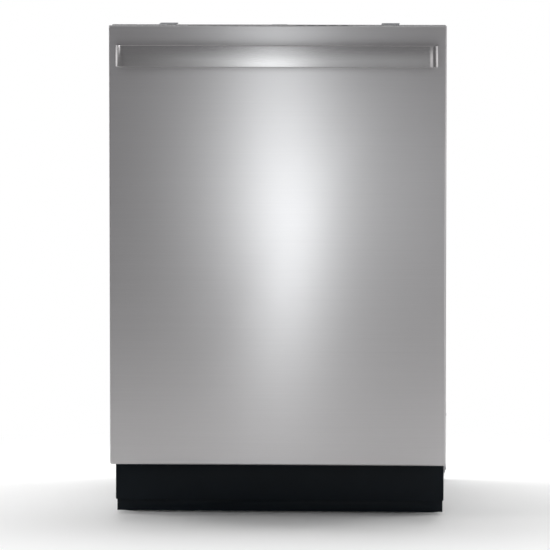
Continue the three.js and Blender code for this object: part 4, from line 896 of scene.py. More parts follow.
def rack_chains(top, floor, loops):
    """Chains of a wire basket between a floor height and its top, main wires first."""
    rim = top - MAIN_WIRE + 0.0002
    front, back = RACK_FRONT + MAIN_WIRE, RACK_BACK - MAIN_WIRE
    along = floor + LAID_OVER
    first, last = front + CORNER, back - 0.02
    main, fine = [], []
    for i in range(CROSS_WIRES):
        y = first + (last - first) * i / (CROSS_WIRES - 1)
        fine.append([(-RIM_HALF, y, rim), (-FLOOR_HALF, y, floor), (FLOOR_HALF, y, floor), (RIM_HALF, y, rim)])
    for i in range(LENGTH_WIRES):
        x = -FLOOR_HALF + 0.014 + (FLOOR_HALF * 2 - 0.028) * i / (LENGTH_WIRES - 1)
        chamfer = [(x, front, along + CORNER), (x, front + CORNER, along)]
        fine.append([(x, front, rim), *chamfer, (x, back, along), (x, back, rim)])
    for z in [rim] + loops:
        half = FLOOR_HALF + (RIM_HALF - FLOOR_HALF) * (z - floor) / (rim - floor) + MAIN_WIRE
        ring = rounded_outline(-half, half, front - MAIN_WIRE, back + MAIN_WIRE, 0.014, 5)
        main.append([(x, y, z) for x, y in ring] + [(*ring[0], z)])
    return main, fine


def tine_chains(x, start, stop, count, base, height, lean=0.0):
    """One foot rod with a row of upright tines on it."""
    chains = [[(x, start, base), (x, stop, base)]]
    for i in range(count):
        y = start + 0.008 + (stop - start - 0.016) * i / (count - 1)
        chains.append([(x, y, base), (x + lean * 0.55, y, base + height * 0.55), (x + lean, y, base + height)])
    return chains


def rack_mesh(main, fine, tines):
    """Mesh of a rack's main wires, fine wires and tines."""
    return with_meshes(
        wires(main, MAIN_WIRE, RACK_NYLON, 0.004, 2),
        wires(fine, FINE_WIRE, RACK_NYLON, 0.012, 4),
        wires(tines, FINE_WIRE, RACK_NYLON, 0.02, 2),
    )


UPPER_FLOOR, UPPER_TOP = 0.48, 0.6017
UPPER_TINES = ((-0.13, 0.058, -0.01), (0.13, 0.058, 0.01), (-0.045, 0.03, 0.0), (0.045, 0.03, 0.0))
upper_main, upper_fine = rack_chains(UPPER_TOP, UPPER_FLOOR, [0.56, 0.522])
upper_tines = []
for x, height, lean in UPPER_TINES:
    upper_tines += tine_chains(x, -0.14, 0.24, 15, UPPER_FLOOR + LAID_OVER, height, lean)
print("upper rack:", len(upper_main) + len(upper_fine) + len(upper_tines), "wires")

# %% [markdown]
# The upper rack hangs by four nylon shoes that run inside the side rails. Each shoe is a moulded block with
# a small wheel let into it.

# %% Upper rack
RAIL_Z = 0.56
SHOE_STARTS = (0.066, 0.232)
SHOE_LENGTH, SHOE_HALF_HEIGHT = 0.032, 0.0117
SHOE_INNER, SHOE_OUTER = 0.2449, 0.26595
SHOE_WHEEL = [(0, -0.0002), (0.009, -0.0002), (0.0092, 0.0001), (0.0035, 0.0002), (0, 0.0002)]


def between(start, end):
    """The same two numbers, the lower one first."""
    return min(start, end), max(start, end)


def shoe_shapes(side):
    """Shoes of one side, from the side wires into the rail's channel."""
    shapes = []
    wheel = [(radius, side * (SHOE_OUTER + level)) for radius, level in SHOE_WHEEL]
    for start in SHOE_STARTS:
        outline = rounded_outline(
            start, start + SHOE_LENGTH, RAIL_Z - SHOE_HALF_HEIGHT, RAIL_Z + SHOE_HALF_HEIGHT, 0.004, 5
        )
        shapes.append(pushed(outline, "x", *between(side * SHOE_INNER, side * SHOE_OUTER)))
        shapes.append(turned(wheel, "x", (0, start + SHOE_LENGTH / 2, RAIL_Z), 24))
    return shapes


shoes = edged(merged(*shoe_shapes(-1), *shoe_shapes(1)), 0.0008, 2, 40)
upper_mesh = with_meshes(rack_mesh(upper_main, upper_fine, upper_tines), shoes)
upper_rack = stand_in("upper_rack_wires", "upper_rack", upper_mesh, RACK_NYLON)
print("upper rack:", len(upper_rack.data.polygons), "faces")

# %% [markdown]
# The lower rack is the same basket made lower and heavier. Four wheel brackets are clipped along its sides,
# each a moulded plate with an axle pin and a snap head that keeps the wheel on.

# %% Lower rack
LOWER_FLOOR, LOWER_TOP = 0.186, 0.2917
TINE_HEIGHT = 0.068
FOLD_X, FOLD_ROD_Z, FOLD_ROD = 0.07, 0.193, 0.0019
PAD_TOP = 0.1906
PAD_PLACES = (0.0077, 0.173)
BRACKET_INNER, BRACKET_OUTER = 0.2345, 0.2492
AXLE = [
    (0, 0.24), (0.0036, 0.24), (0.0036, 0.2654), (0.0068, 0.2655), (0.0066, 0.2672), (0.0052, 0.268),
    (0, 0.268),
]
lower_main, lower_fine = rack_chains(LOWER_TOP, LOWER_FLOOR, [0.238])
lower_tines = []
for x in (-0.15, 0.16):
    lower_tines += tine_chains(x, -0.08, 0.255, 14, LOWER_FLOOR + LAID_OVER, TINE_HEIGHT)


def wheel_bracket(wheel):
    """Bracket plate, stiffening rim, axle and snap head of one wheel."""
    x, y, z = centre_of(wheel)
    side = 1 if x > 0 else -1
    start, end = between(side * BRACKET_INNER, side * BRACKET_OUTER)
    plate = rounded_outline(y - 0.04, y + 0.04, z - 0.009, LOWER_FLOOR + 0.005, 0.004, 5)
    rim = rounded_outline(y - 0.016, y + 0.016, z - 0.0085, z + 0.0105, 0.006, 6)
    return [
        pushed(plate, "x", start + 0.0015, end - 0.0015),
        pushed(rim, "x", start, end),
        turned([(radius, side * level) for radius, level in AXLE], "x", (0, y, z), 28),
    ]


def pad_shape(y):
    """Pad on a cross wire that carries the folding row's rod."""
    outline = rounded_outline(FOLD_X - 0.004, FOLD_X + 0.004, y - 0.004, y + 0.004, 0.0015, 3)
    return pushed(outline, "z", LOWER_FLOOR, PAD_TOP)


mouldings = [shape for end in ("front", "back") for side in ("left", "right")
             for shape in wheel_bracket(f"rack_wheel_{end}_{side}")]
mouldings += [pad_shape(y) for y in PAD_PLACES]
clips = edged(merged(*mouldings), 0.0006, 2, 40)
lower_mesh = with_meshes(rack_mesh(lower_main, lower_fine, lower_tines), clips)
lower_rack = stand_in("lower_rack_wires", "lower_rack", lower_mesh, RACK_NYLON)
rod, *tines = tine_chains(FOLD_X, -0.074, 0.25, 14, FOLD_ROD_Z, TINE_HEIGHT)
fold_mesh = with_meshes(wires([rod], FOLD_ROD, RACK_NYLON), wires(tines, FINE_WIRE, RACK_NYLON))
stand_in("folding_tine_row", "folding_tines", fold_mesh, RACK_NYLON)
print("lower rack:", len(lower_rack.data.polygons), "faces")

# %% [markdown]
# Wheels and rollers are turned forms with a soft tread, a recessed web and a boss at the bore. The big
# wheels get six ribs across the web on each side, which stop a thin nylon web from buckling. Ribs, fins and
# slats recur on many parts, so one tree sets a small block on every point, sized and turned by values
# stored there.

# %% Rib tree
def rib_tree():
    tree, given = start_tree("ribs")
    block = node_of(tree, "GeometryNodeMeshCube", {"Size": (1, 1, 1)}).outputs["Mesh"]
    return finish_tree(tree, facing_copies(tree, given, block, Scale=stored_vector(tree, "size")), given)


RIB_TREE = rib_tree()


def ribs(spots, finish, soften):
    """Mesh of blocks; each spot is (centre, direction of the block's long axis, (width, width, length))."""
    places, facing, sizes = zip(*spots)
    mesh = grown(points_mesh(places, facing=facing, size=sizes), RIB_TREE, Finish=finish)
    return edged(mesh, soften, 2, 40) if soften else mesh


print("rib tree has", len(RIB_TREE.nodes), "nodes")

# %% [markdown]
# A wheel's ribs are laid out in the plane of its web, so their places are worked out in turns round the
# axle.

# %% Wheels and rollers
BOSS = 0.008
RIM_DEPTH = 0.0042
WHEEL_BORE = 0.004


def mirrored_profile(half, low, high):
    """Profile of a turned part that is the same from both ends; the half is (radius, depth in from an end)."""
    points = [(radius, low + depth) for radius, depth in half]
    points += [(radius, high - depth) for radius, depth in reversed(half)]
    return points + points[:1]


def wheel_mesh(node):
    low, high = span(node)
    middle, radius = centre_of(node), (high.y - low.y) / 2
    half = [
        (WHEEL_BORE, 0), (BOSS - 0.0004, 0), (BOSS, 0.0004), (BOSS, 0.0035), (radius - RIM_DEPTH, 0.0035),
        (radius - RIM_DEPTH, 0.0009), (radius - 0.0036, 0.0004), (radius - 0.0014, 0.0004),
        (radius - 0.0004, 0.0012), (radius, 0.003),
    ]
    spots = []
    reach = (BOSS + radius - RIM_DEPTH) / 2
    for across, up in round_points(0, 0, 1, 6, 0.25):
        for x in (low.x + 0.0027, high.x - 0.0027):
            centre = (x, middle.y + across * reach, middle.z + up * reach)
            spots.append((centre, (0, across, up), (0.0016, 0.0016, radius - 0.012)))
    wheel = turned(mirrored_profile(half, low.x, high.x), "x", (0, middle.y, middle.z), 56)
    return with_meshes(merged(wheel), ribs(spots, RACK_NYLON, 0.0002))


def roller_mesh(node):
    low, high = span(node)
    middle, radius = centre_of(node), (high.y - low.y) / 2
    half = [(0.004, 0), (0.0066, 0), (0.007, 0.0006), (radius - 0.0012, 0.0006), (radius, 0.0016)]
    return merged(turned(mirrored_profile(half, low.x, high.x), "x", (0, middle.y, middle.z), 44))


for end in ("front", "back"):
    for side in ("left", "right"):
        wheel, roller = f"rack_wheel_{end}_{side}", f"track_roller_{end}_{side}"
        stand_in(wheel + "_tread", wheel, wheel_mesh(wheel), RACK_NYLON)
        stand_in(roller + "_tread", roller, roller_mesh(roller), RACK_NYLON)
print("wheels and rollers turned")

# %% [markdown]
# The cutlery basket is one thin moulding full of holes. Its walls are drawn as a net of quads and a third
# tree perforates them: every marked face is shrunk inside itself and dropped, which leaves a grille of even
# bars. The net is then given the thickness of the plastic.

# %% Perforator tree
def perforator_tree():
    tree, given = start_tree("perforator", {"Open Share": 0.7})
    marked = node_of(tree, "GeometryNodeInputNamedAttribute", {"Name": "open"}, data_type="BOOLEAN").outputs[0]
    cut = {"Mesh": given["Geometry"], "Selection": marked, "Offset Scale": 0.0, "Individual": True}
    split = node_of(tree, "GeometryNodeExtrudeMesh", cut, mode="FACES").outputs
    shrink = {"Geometry": split["Mesh"], "Selection": split["Top"], "Scale": given["Open Share"]}
    shrunk = node_of(tree, "GeometryNodeScaleElements", shrink, domain="FACE").outputs[0]
    drop = {"Geometry": shrunk, "Selection": split["Top"]}
    return finish_tree(tree, node_of(tree, "GeometryNodeDeleteGeometry", drop, domain="FACE").outputs[0], given)


PERFORATOR_TREE = perforator_tree()


def perforated(mesh, opened, share, thickness, finish):
    """Drop the middle of every face whose centre passes the test, then give the net its thickness."""
    mark = mesh.attributes.new("open", "BOOLEAN", "FACE")
    for face in mesh.polygons:
        mark.data[face.index].value = opened(face.center)
    return thickened(grown(mesh, PERFORATOR_TREE, Open_Share=share, Finish=finish), thickness)


def net_of(rows):
    """Net of quads from rows of points; rows that start and end on one point close up."""
    shape = bmesh.new()
    grid = [[shape.verts.new(tuple(point)) for point in row] for row in rows]
    for lower, upper in zip(grid, grid[1:]):
        for i in range(len(lower) - 1):
            shape.faces.new((lower[i], lower[i + 1], upper[i + 1], upper[i]))
    bmesh.ops.remove_doubles(shape, verts=shape.verts, dist=0.000001)
    return shape


print("perforator tree has", len(PERFORATOR_TREE.nodes), "nodes")

# %% [markdown]
# The basket's outer wall runs round a rounded rectangle. A plain band is left at its top and foot and down
# its corners, and three slotted dividers make four cells. A rolled rim, a bail handle and the floor grid
# finish it.

# %% Cutlery basket
def even_outline(x0, x1, y0, y1, radius, step):
    """Closed rounded rectangle whose straight runs are cut into even steps."""
    points = rounded_outline(x0, x1, y0, y1, radius, 3)
    points.append(points[0])
    result = []
    for start, end in zip(points, points[1:]):
        length = math.dist(start, end)
        count = max(1, round(length / step)) if length > radius else 1
        result += [tuple(Vector(start).lerp(Vector(end), i / count)) for i in range(count)]
    return result + result[:1]


BASKET_WALL = 0.0018
BASKET_HALF = 0.105
BASKET_RIM = 0.0964
BASKET_LEVELS = (0.001, 0.009, 0.034, 0.059, 0.084, BASKET_RIM)
PLAIN_CORNER = 0.008
DIVIDERS = (-0.0525, 0.0, 0.0525)
BAR_SHARE, FLOOR_SHARE = 0.66, 0.55


def stepped(start, end, count):
    """Numbers from start to end in even steps."""
    return [start + (end - start) * i / count for i in range(count + 1)]


def basket_mesh():
    low, high = span("silverware_basket")
    half_wall = BASKET_WALL / 2
    levels = [low.z + level for level in BASKET_LEVELS]
    x1, y0, y1 = BASKET_HALF - half_wall, low.y + half_wall, high.y - half_wall
    outline = even_outline(-x1, x1, y0, y1, 0.006, 0.0095)

    def side_hole(centre):
        clear_of_corners = abs(centre.x) < x1 - PLAIN_CORNER or y0 + PLAIN_CORNER < centre.y < y1 - PLAIN_CORNER
        return levels[1] < centre.z < levels[4] and clear_of_corners

    def grille(rows, opened, share):
        return perforated(merged(net_of(rows)), opened, share, BASKET_WALL, SPRAY_GREY)

    parts = [grille([[(x, y, z) for x, y in outline] for z in levels], side_hole, BAR_SHARE)]
    for x in DIVIDERS:
        rows = [[(x, y, z) for y in stepped(y0, y1, 7)] for z in levels]
        parts.append(grille(rows, lambda centre: centre.z < levels[4], BAR_SHARE))
    floor_rows = [[(x, y, levels[0]) for x in stepped(-x1, x1, 24)] for y in stepped(y0, y1, 8)]
    parts.append(grille(floor_rows, lambda centre: True, FLOOR_SHARE))
    top, middle = levels[-1], (y0 + y1) / 2
    parts.append(wires([[(x, y, top) for x, y in outline]], 0.0016, SPRAY_GREY, 0.0, 1, 10))
    bail = [(-0.102, middle, top - 0.006), (-0.083, middle, high.z - 0.004), (0.083, middle, high.z - 0.004),
            (0.102, middle, top - 0.006)]
    parts.append(wires([bail], 0.0038, SPRAY_GREY, 0.022, 8, 16))
    return with_meshes(*parts)


basket = stand_in("cutlery_basket", "silverware_basket", basket_mesh(), SPRAY_GREY, 50)
print("cutlery basket:", len(basket.data.polygons), "faces")

# %% [markdown]
# The upper rack slides in rolled steel rails, and two folding cup shelves hang on hinge rods inside its
# sides. Rails and shelves keep their construction shapes with rounded edges.

# %% Rails and shelves
for side in ("left", "right"):
    dressed(f"upper_track_{side}", TUB_STEEL, 0.0004)
    dressed(f"cup_shelf_{side}", RACK_NYLON, 0.0009, 3, 40)
print("rails and shelves dressed")

# %% [markdown]
# The tub is deep-drawn stainless: a box with generous corner radii, a flat flange round its mouth, and a
# sunk basin for the water. It is built the way a press tool would be thought of, a solid outside minus a
# solid inside, and the Boolean modifier does the subtraction. Flat outlines stacked at several insets give
# the basin its sloping sides.

# %% Boolean and layer helpers
DRILL_FROM, DRILL_TO = 0.1, 0.135


def inset_outline(outline, inset):
    """Closed outline moved inwards by the same distance all round."""
    count = len(outline)
    result = []
    for i in range(count):
        before, here, after = outline[i - 1], outline[i], outline[(i + 1) % count]
        normals = []
        for start, end in ((before, here), (here, after)):
            length = math.dist(start, end) or 1
            normals.append(((start[1] - end[1]) / length, (end[0] - start[0]) / length))
        nx, ny = normals[0][0] + normals[1][0], normals[0][1] + normals[1][1]
        size = math.hypot(nx, ny) or 1
        nx, ny = nx / size, ny / size
        lean = max(0.35, nx * normals[0][0] + ny * normals[0][1])
        result.append((here[0] + nx * inset / lean, here[1] + ny * inset / lean))
    return result


def layered(outline, layers, axis="z"):
    """Closed solid through copies of an outline; each layer is (inset, level)."""
    place = AXIS_PLACE[axis]
    return skinned([[place(u, v, level) for u, v in inset_outline(outline, inset)] for inset, level in layers])


def combined(base, tools, operation="DIFFERENCE"):
    """Mesh of a base shape with every tool cut from it or joined to it."""
    item = linked("base", base if isinstance(base, bpy.types.Mesh) else merged(base))
    helpers = [linked("tool", merged(tool)) for tool in tools]
    for helper in helpers:
        step = item.modifiers.new("step", "BOOLEAN")
        step.object = helper
        step.operation = operation
        step.solver = "EXACT"
    mesh = evaluated_mesh(item)
    for helper in helpers:
        bpy.data.objects.remove(helper)
    return mesh


def two_radii(x0, x1, y0, y1, lower, upper, steps=10):
    """Rectangle with one radius at its lower corners and another at its upper ones."""
    return (
        arc(x1 - lower, y0 + lower, lower, -90, 0, steps)
        + arc(x1 - upper, y1 - upper, upper, 0, 90, steps)
        + arc(x0 + upper, y1 - upper, upper, 90, 180, steps)
        + arc(x0 + lower, y0 + lower, lower, 180, 270, steps)
    )


def drill(x, y, radius, steps):
    """Round bar that cuts a hole in the tub's floor."""
    profile = [(0, DRILL_FROM), (radius, DRILL_FROM), (radius, DRILL_TO), (0, DRILL_TO)]
    return turned(profile, "z", (x, y, 0), steps)


print("press tool helpers ready")

# %% [markdown]
# The tub's own sizes are read off its construction box and the parts that seat in it: the basin follows the
# filter and heater, and the four track studs stand out from its side walls.

# %% Tub
TUB_SHEET = 0.002
tub_low, tub_high = span("tub")
WELL = tuple(centre_of("filter_plate"))[:2]
FLANGE_Y = tub_low.y
TUB_HALF = 0.28
TUB_FLOOR, TUB_TOP = 0.146, 0.848
TUB_BACK = 0.305
BASIN_FLOOR = 0.132
BASIN = (-0.214, 0.214, -0.15, 0.262)
SUMP_INSIDE = 0.122
HEATER_RADIUS, HEATER_OPENING = 0.175, 0.21  # the opening is half the angle left between the ring's two ends
HEATER_HOLE, FLOAT_HOLE = 0.0043, 0.005
MOUTH_ROLL = [(-0.0022, -0.001), (-0.0022, 0), (-0.0006, 0.0007), (0.0, 0.0026)]
BACK_ROLL = [(0.0, -0.012), (0.001, -0.0065), (0.0045, -0.003), (0.009, -TUB_SHEET)]
STUD = [
    (0, 0.2695), (0.003, 0.2695), (0.0037, 0.2702), (0.0037, 0.2776), (0.009, 0.2777), (0.0105, 0.2783),
    (0, 0.2783),
]


def basin_solid(grow):
    """Sunk basin with sloping sides, grown by the sheet's thickness for its outside."""
    x0, x1, y0, y1 = BASIN
    floor = BASIN_FLOOR - grow
    outline = rounded_outline(x0 - grow, x1 + grow, y0 - grow, y1 + grow, 0.036, 10)
    layers = [(0.0195, floor), (0.0165, floor + 0.0006), (0.0145, floor + 0.002), (0.0015, floor + 0.0150),
              (0.0004, floor + 0.0168), (0.0, floor + 0.019), (0.0, floor + 0.03)]
    return layered(outline, layers)


def tub_mesh():
    body_outline = two_radii(-TUB_HALF, TUB_HALF, TUB_FLOOR, TUB_TOP, 0.01, 0.026)
    flange_outline = two_radii(tub_low.x, tub_high.x, TUB_FLOOR, tub_high.z, 0.004, 0.008)
    flange = pushed(flange_outline, "y", FLANGE_Y, FLANGE_Y + TUB_SHEET)
    whole = combined(pushed(body_outline, "y", FLANGE_Y, TUB_BACK), [flange, basin_solid(TUB_SHEET)], "UNION")
    half, floor, top = TUB_HALF - TUB_SHEET, TUB_FLOOR + TUB_SHEET, TUB_TOP - TUB_SHEET
    layers = [(inset, FLANGE_Y + depth) for inset, depth in MOUTH_ROLL]
    layers += [(inset, TUB_BACK + depth) for inset, depth in BACK_ROLL]
    cavity = layered(two_radii(-half, half, floor, top, 0.008, 0.024), layers, "y")
    holes = [drill(*WELL, SUMP_INSIDE, 96)]
    for side in (-1, 1):
        x = side * HEATER_RADIUS * math.sin(HEATER_OPENING)
        holes.append(drill(x, WELL[1] + HEATER_RADIUS * math.cos(HEATER_OPENING), HEATER_HOLE, 20))
    float_middle = centre_of("float_cap")
    holes.append(drill(float_middle.x, float_middle.y, FLOAT_HOLE, 20))
    return combined(whole, [cavity, basin_solid(0.0), *holes])


def stud_shapes():
    """Track roller pins with their pressed seats on the side walls."""
    shapes = []
    for end in ("front", "back"):
        middle = centre_of(f"track_roller_{end}_right")
        for side in (-1, 1):
            profile = [(radius, side * level) for radius, level in STUD]
            shapes.append(turned(profile, "x", (0, middle.y, middle.z), 28))
    return shapes


tub = stand_in("tub_shell", "tub", with_meshes(tub_mesh(), merged(*stud_shapes())), TUB_STEEL, 32)
print("tub shell:", len(tub.data.polygons), "faces")

# %% [markdown]
# Round the tub lies a blanket of pressed fibre. It is padding, so it has no flat faces: it sinks along the
# lines of stitches that hold its layers together. The blanket is cut into a fine grid by planes, and every
# point of its outside is then lowered by how near it lies to a stitch line. Short threads along the lines
# come from the rib tree.

# %% Insulation blanket
QUILT = 0.094
QUILT_CELLS = 6  # grid steps from stitch line to stitch line
BLANKET_WALL = 0.01
QUILT_DEPTH = 0.0032


def sunk(a, b):
    """How far the blanket sinks at a place between stitch lines, from 0 in a field to 1 on a line."""
    return 1 - (abs(math.sin(math.pi * a / QUILT)) * abs(math.sin(math.pi * b / QUILT))) ** 0.4


def blanket_mesh(low, high):
    outline = two_radii(low.x, high.x, low.z - 0.03, high.z, 0.01, 0.03)
    outside = layered(
        outline,
        [(0.0040, low.y), (0.0012, low.y + 0.0008), (0.0, low.y + 0.004), (0.0, high.y - 0.012),
         (0.0012, high.y - 0.0062), (0.0045, high.y - 0.0024), (0.012, high.y)],
        "y",
    )
    wall = BLANKET_WALL
    hollow = two_radii(low.x + wall, high.x - wall, low.z - 0.05, high.z - wall, 0.01, 0.0263)
    tools = [
        pushed(hollow, "y", low.y - 0.01, high.y - wall),
        box_shape((low.x - 0.01, low.y - 0.01, low.z - 0.06), (high.x + 0.01, high.y + 0.01, low.z)),
    ]
    mesh = combined(outside, tools)
    shape = bmesh.new()
    shape.from_mesh(mesh)
    for axis, start, end in ((0, low.x, high.x), (1, low.y, high.y), (2, low.z, high.z)):
        count = round((end - start) / (QUILT / QUILT_CELLS))
        for i in range(1, count):
            spot, normal = [0, 0, 0], [0, 0, 0]
            spot[axis], normal[axis] = start + (end - start) * i / count, 1
            geometry = shape.verts[:] + shape.edges[:] + shape.faces[:]
            bmesh.ops.bisect_plane(shape, geom=geometry, plane_co=spot, plane_no=normal, dist=0.000001)
    shape.normal_update()
    moves = []
    for vert in shape.verts:
        x, y, z = vert.co
        half = wall / 2
        if abs(x) > high.x - half or z > high.z - half or y > high.y - half:
            size = [abs(value) for value in vert.normal]
            flat = size.index(max(size))
            a, b = {0: (y - low.y, z - low.z), 1: (x, z - low.z), 2: (x, y - low.y)}[flat]
            moves.append((vert, vert.normal * (-QUILT_DEPTH * sunk(a, b))))
    for vert, move in moves:
        vert.co += move
    shape.to_mesh(mesh)
    shape.free()
    return mesh


blanket_low, blanket_high = span("tub_insulation")
blanket = stand_in(
    "insulation_blanket", "tub_insulation", blanket_mesh(blanket_low, blanket_high), FELT_GREY, 70
)
print("blanket:", len(blanket.data.polygons), "faces")

# %% [markdown]
# The thread is laid on the grid lines of every face, a stitch and a gap at a time.

# %% Blanket stitches
STITCH = 0.006
STITCH_PITCH = STITCH * 1.8
STITCH_SINK = 0.0029
THREAD = 0.0011
THREAD_GREY = moulded_finish("thread_grey", (0.02, 0.02, 0.021), 0.85, 4000, 0.00003, 0.2)


def stitch_runs(low, high):
    """Ends of the stitch lines on the sides, the top and the back."""
    top, back = high.z - STITCH_SINK, high.y - STITCH_SINK
    heights = [low.z + QUILT * i for i in range(1, 8)]
    depths = [low.y + QUILT * i for i in range(1, 6)]
    runs = []
    for x in (low.x + STITCH_SINK, high.x - STITCH_SINK):
        runs += [((x, y, low.z + 0.012), (x, y, high.z - 0.03)) for y in depths]
        runs += [((x, low.y + 0.008, z), (x, high.y - 0.014, z)) for z in heights if z < high.z - 0.03]
    for i in range(-2, 3):
        x = QUILT * i
        runs.append(((x, low.y + 0.008, top), (x, high.y - 0.014, top)))
        runs.append(((x, back, low.z + 0.012), (x, back, high.z - 0.014)))
    runs += [((low.x + 0.03, y, top), (high.x - 0.03, y, top)) for y in depths]
    runs += [((low.x + 0.014, back, z), (high.x - 0.014, back, z)) for z in heights]
    return runs


def stitch_spots(runs):
    """Centre, direction and size of every stitch on its line."""
    spots = []
    for start, end in runs:
        start, end = Vector(start), Vector(end)
        direction = (end - start).normalized()
        for k in range(int((end - start).length / STITCH_PITCH)):
            centre = start + direction * (STITCH * 0.6 + STITCH_PITCH * k)
            spots.append((centre, direction, (THREAD, THREAD, STITCH)))
    return spots


stitches = stitch_spots(stitch_runs(blanket_low, blanket_high))
add_piece("blanket_stitches", ribs(stitches, THREAD_GREY, 0), THREAD_GREY, "machine")
print("stitches:", len(stitches))

# %% [markdown]
# The door seal is an extruded rubber profile pushed into a groove round the tub's mouth: a thick foot with
# two soft lips. It follows one path up one side, over and down the other, so its section is swept along
# that path.

# %% Door seal
SEAL_DEPTH = 0.0054
SEAL_HALF_SECTION = [
    (0.0038, 0.0), (0.004, 0.0006), (0.0036, 0.0018), (0.0026, 0.0024), (0.0030, 0.0034), (0.0036, 0.0044),
    (0.0026, 0.0052), (0.0014, 0.0046), (0.0006, 0.0034),
]
SEAL_SECTION = SEAL_HALF_SECTION + [(-across, depth) for across, depth in reversed(SEAL_HALF_SECTION)]
SEAL_CORNER = 0.015


def path_direction(path, i):
    """Direction of a path of plane points at one of them."""
    return (Vector(path[min(i + 1, len(path) - 1)]) - Vector(path[max(i - 1, 0)])).normalized()


def seal_mesh():
    low, high = span("door_gasket")
    stretch = (high.y - low.y) / SEAL_DEPTH
    half, top, radius = high.x - 0.004, high.z - 0.004, SEAL_CORNER
    path = [(half, low.z + (top - radius - low.z) * i / 30) for i in range(31)]
    path += arc(half - radius, top - radius, radius, 0, 90, 10)[1:]
    path += [((half - radius) * (1 - i / 12), top) for i in range(1, 13)]
    path += [(-x, z) for x, z in reversed(path[:-1])]
    rings = []
    for i, (x, z) in enumerate(path):
        along = path_direction(path, i)
        out = Vector((along.y, -along.x))
        if out.dot(Vector((x, z - 0.5))) < 0:
            out = -out
        rings.append([(x + out.x * u, high.y - v * stretch, z + out.y * u) for u, v in SEAL_SECTION])
    return merged(skinned(rings))


seal = stand_in("door_seal", "door_gasket", seal_mesh(), SEAL_RUBBER, 40)
print("seal:", len(seal.data.polygons), "faces")

# %% [markdown]
# A spray arm is two thin mouldings welded round their rim, with round jets standing up from the blade.
# Its outline follows the same rule for both arms: a round hub and two wings swept the same way round. The
# blade is stacked from insets of that outline so that its edges are round and the weld shows as a fine
# seam.

# %% Spray arms
def curve_points(start, control, end, steps):
    """Quadratic curve from start to end, without its last point."""
    return [
        tuple((1 - t) ** 2 * a + 2 * t * (1 - t) * c + t * t * b for a, c, b in zip(start, control, end))
        for t in (i / steps for i in range(steps))
    ]


BLADE_ROOT, BLADE_TIP = 0.023, 0.012


def blade_outline(reach):
    """Outline of both wings of an arm, swept the same way round."""
    root, tip = BLADE_ROOT, BLADE_TIP
    half = curve_points((0, -root), (reach * 0.5, -root - 0.003), (reach - tip, -tip + 0.006), 18)
    half += arc(reach - tip, 0.006, tip, -90, 90, 14)
    half += curve_points((reach - tip, tip + 0.006), (reach * 0.5, root - 0.005), (0, root), 18)[1:]
    return half + [(-x, -y) for x, y in half]


JET_SHARES = (0.3, 0.45, 0.6, 0.74, 0.88)
JET = [
    (0, -0.001), (0.0038, -0.001), (0.0036, 0.0008), (0.0026, 0.0016), (0.0022, 0.0016), (0.0020, 0.0002),
    (0, 0),
]


def spray_arm(reach, base, thickness, hub_profile):
    """Blade, hub and jets of one arm round the well's axis; base is the height of the blade's underside."""
    x0, y0 = WELL
    outline = [(x0 + x, y0 + y) for x, y in blade_outline(reach)]
    seam, deck = base + thickness * 0.45, base + thickness
    shapes = [layered(outline, [
        (0.0028, base), (0.0012, base + 0.0005), (0.0002, base + 0.0022), (0.0, seam - 0.0003), (0.0007, seam),
        (0.0, seam + 0.0003), (0.0004, deck - 0.0024), (0.0016, deck - 0.0006), (0.0032, deck),
    ])]
    shapes.append(turned(hub_profile, "z", (x0, y0, 0), 56))
    for side in (-1, 1):
        for share in JET_SHARES:
            shapes.append(turned(JET, "z", (x0 + side * reach * share, y0 + side * 0.004 * share, deck), 18))
        start, end = between(side * reach * 0.1, side * reach * 0.8)
        rib = rounded_outline(x0 + start, x0 + end, y0 - 0.0012, y0 + 0.0012, 0.001, 3)
        shapes.append(layered(rib, [(0, deck - 0.001), (0, deck + 0.0006), (0.0006, deck + 0.0012)]))
    return merged(*shapes)


LOWER_BLADE, UPPER_BLADE = 0.012, 0.01
arm_low, arm_high = span("lower_spray_arm")
foot, top, base = arm_low.z, arm_high.z, arm_high.z - 0.002 - LOWER_BLADE
hub = [(0.0153, foot), (0.0185, foot), (0.02, foot + 0.0015), (0.02, base), (0.022, base + 0.002),
       (0.022, top - 0.0025), (0.0195, top - 0.0006), (0.012, top), (0, top), (0, top - 0.0035),
       (0.0153, top - 0.0035), (0.0153, foot)]
lower_arm = spray_arm((arm_high.x - arm_low.x) / 2, base, LOWER_BLADE, hub)
stand_in("lower_arm", "lower_spray_arm", lower_arm, SPRAY_GREY, 35)
arm_low, arm_high = span("upper_spray_arm")
foot, top = arm_low.z, arm_high.z
hub = [(0, foot), (0.016, foot), (0.0185, foot + 0.001), (0.02, foot + 0.003), (0.02, foot + 0.0105),
       (0.0175, foot + 0.0118), (0.014, foot + 0.0122), (0.014, top - 0.0008), (0.0132, top), (0, top)]
upper_arm = spray_arm((arm_high.x - arm_low.x) / 2, foot, UPPER_BLADE, hub)
stand_in("upper_arm", "upper_spray_arm", upper_arm, SPRAY_GREY, 35)
print("spray arms made")

# %% [markdown]
# Water climbs to the upper arm through a flat oval pipe on the back wall, and enters the rack's own pipe at
# a docking port. One swept oval with rounded bends makes the pipe. Clamp bands hold it, and the port and
# the ceiling rose are turned parts.

# %% Feed pipe and manifold
def rounded_path(points, radius):
    """Chain of (y, z) points with its corners rounded."""
    result = [points[0]]
    for before, here, after in zip(points, points[1:], points[2:]):
        here, to_before, to_after = Vector(here), Vector(before) - Vector(here), Vector(after) - Vector(here)
        back = min(radius, to_before.length * 0.45, to_after.length * 0.45)
        start, end = here + to_before.normalized() * back, here + to_after.normalized() * back
        result += curve_points(tuple(start), here, tuple(end), 6) + [tuple(end)]
    return result + [points[-1]]


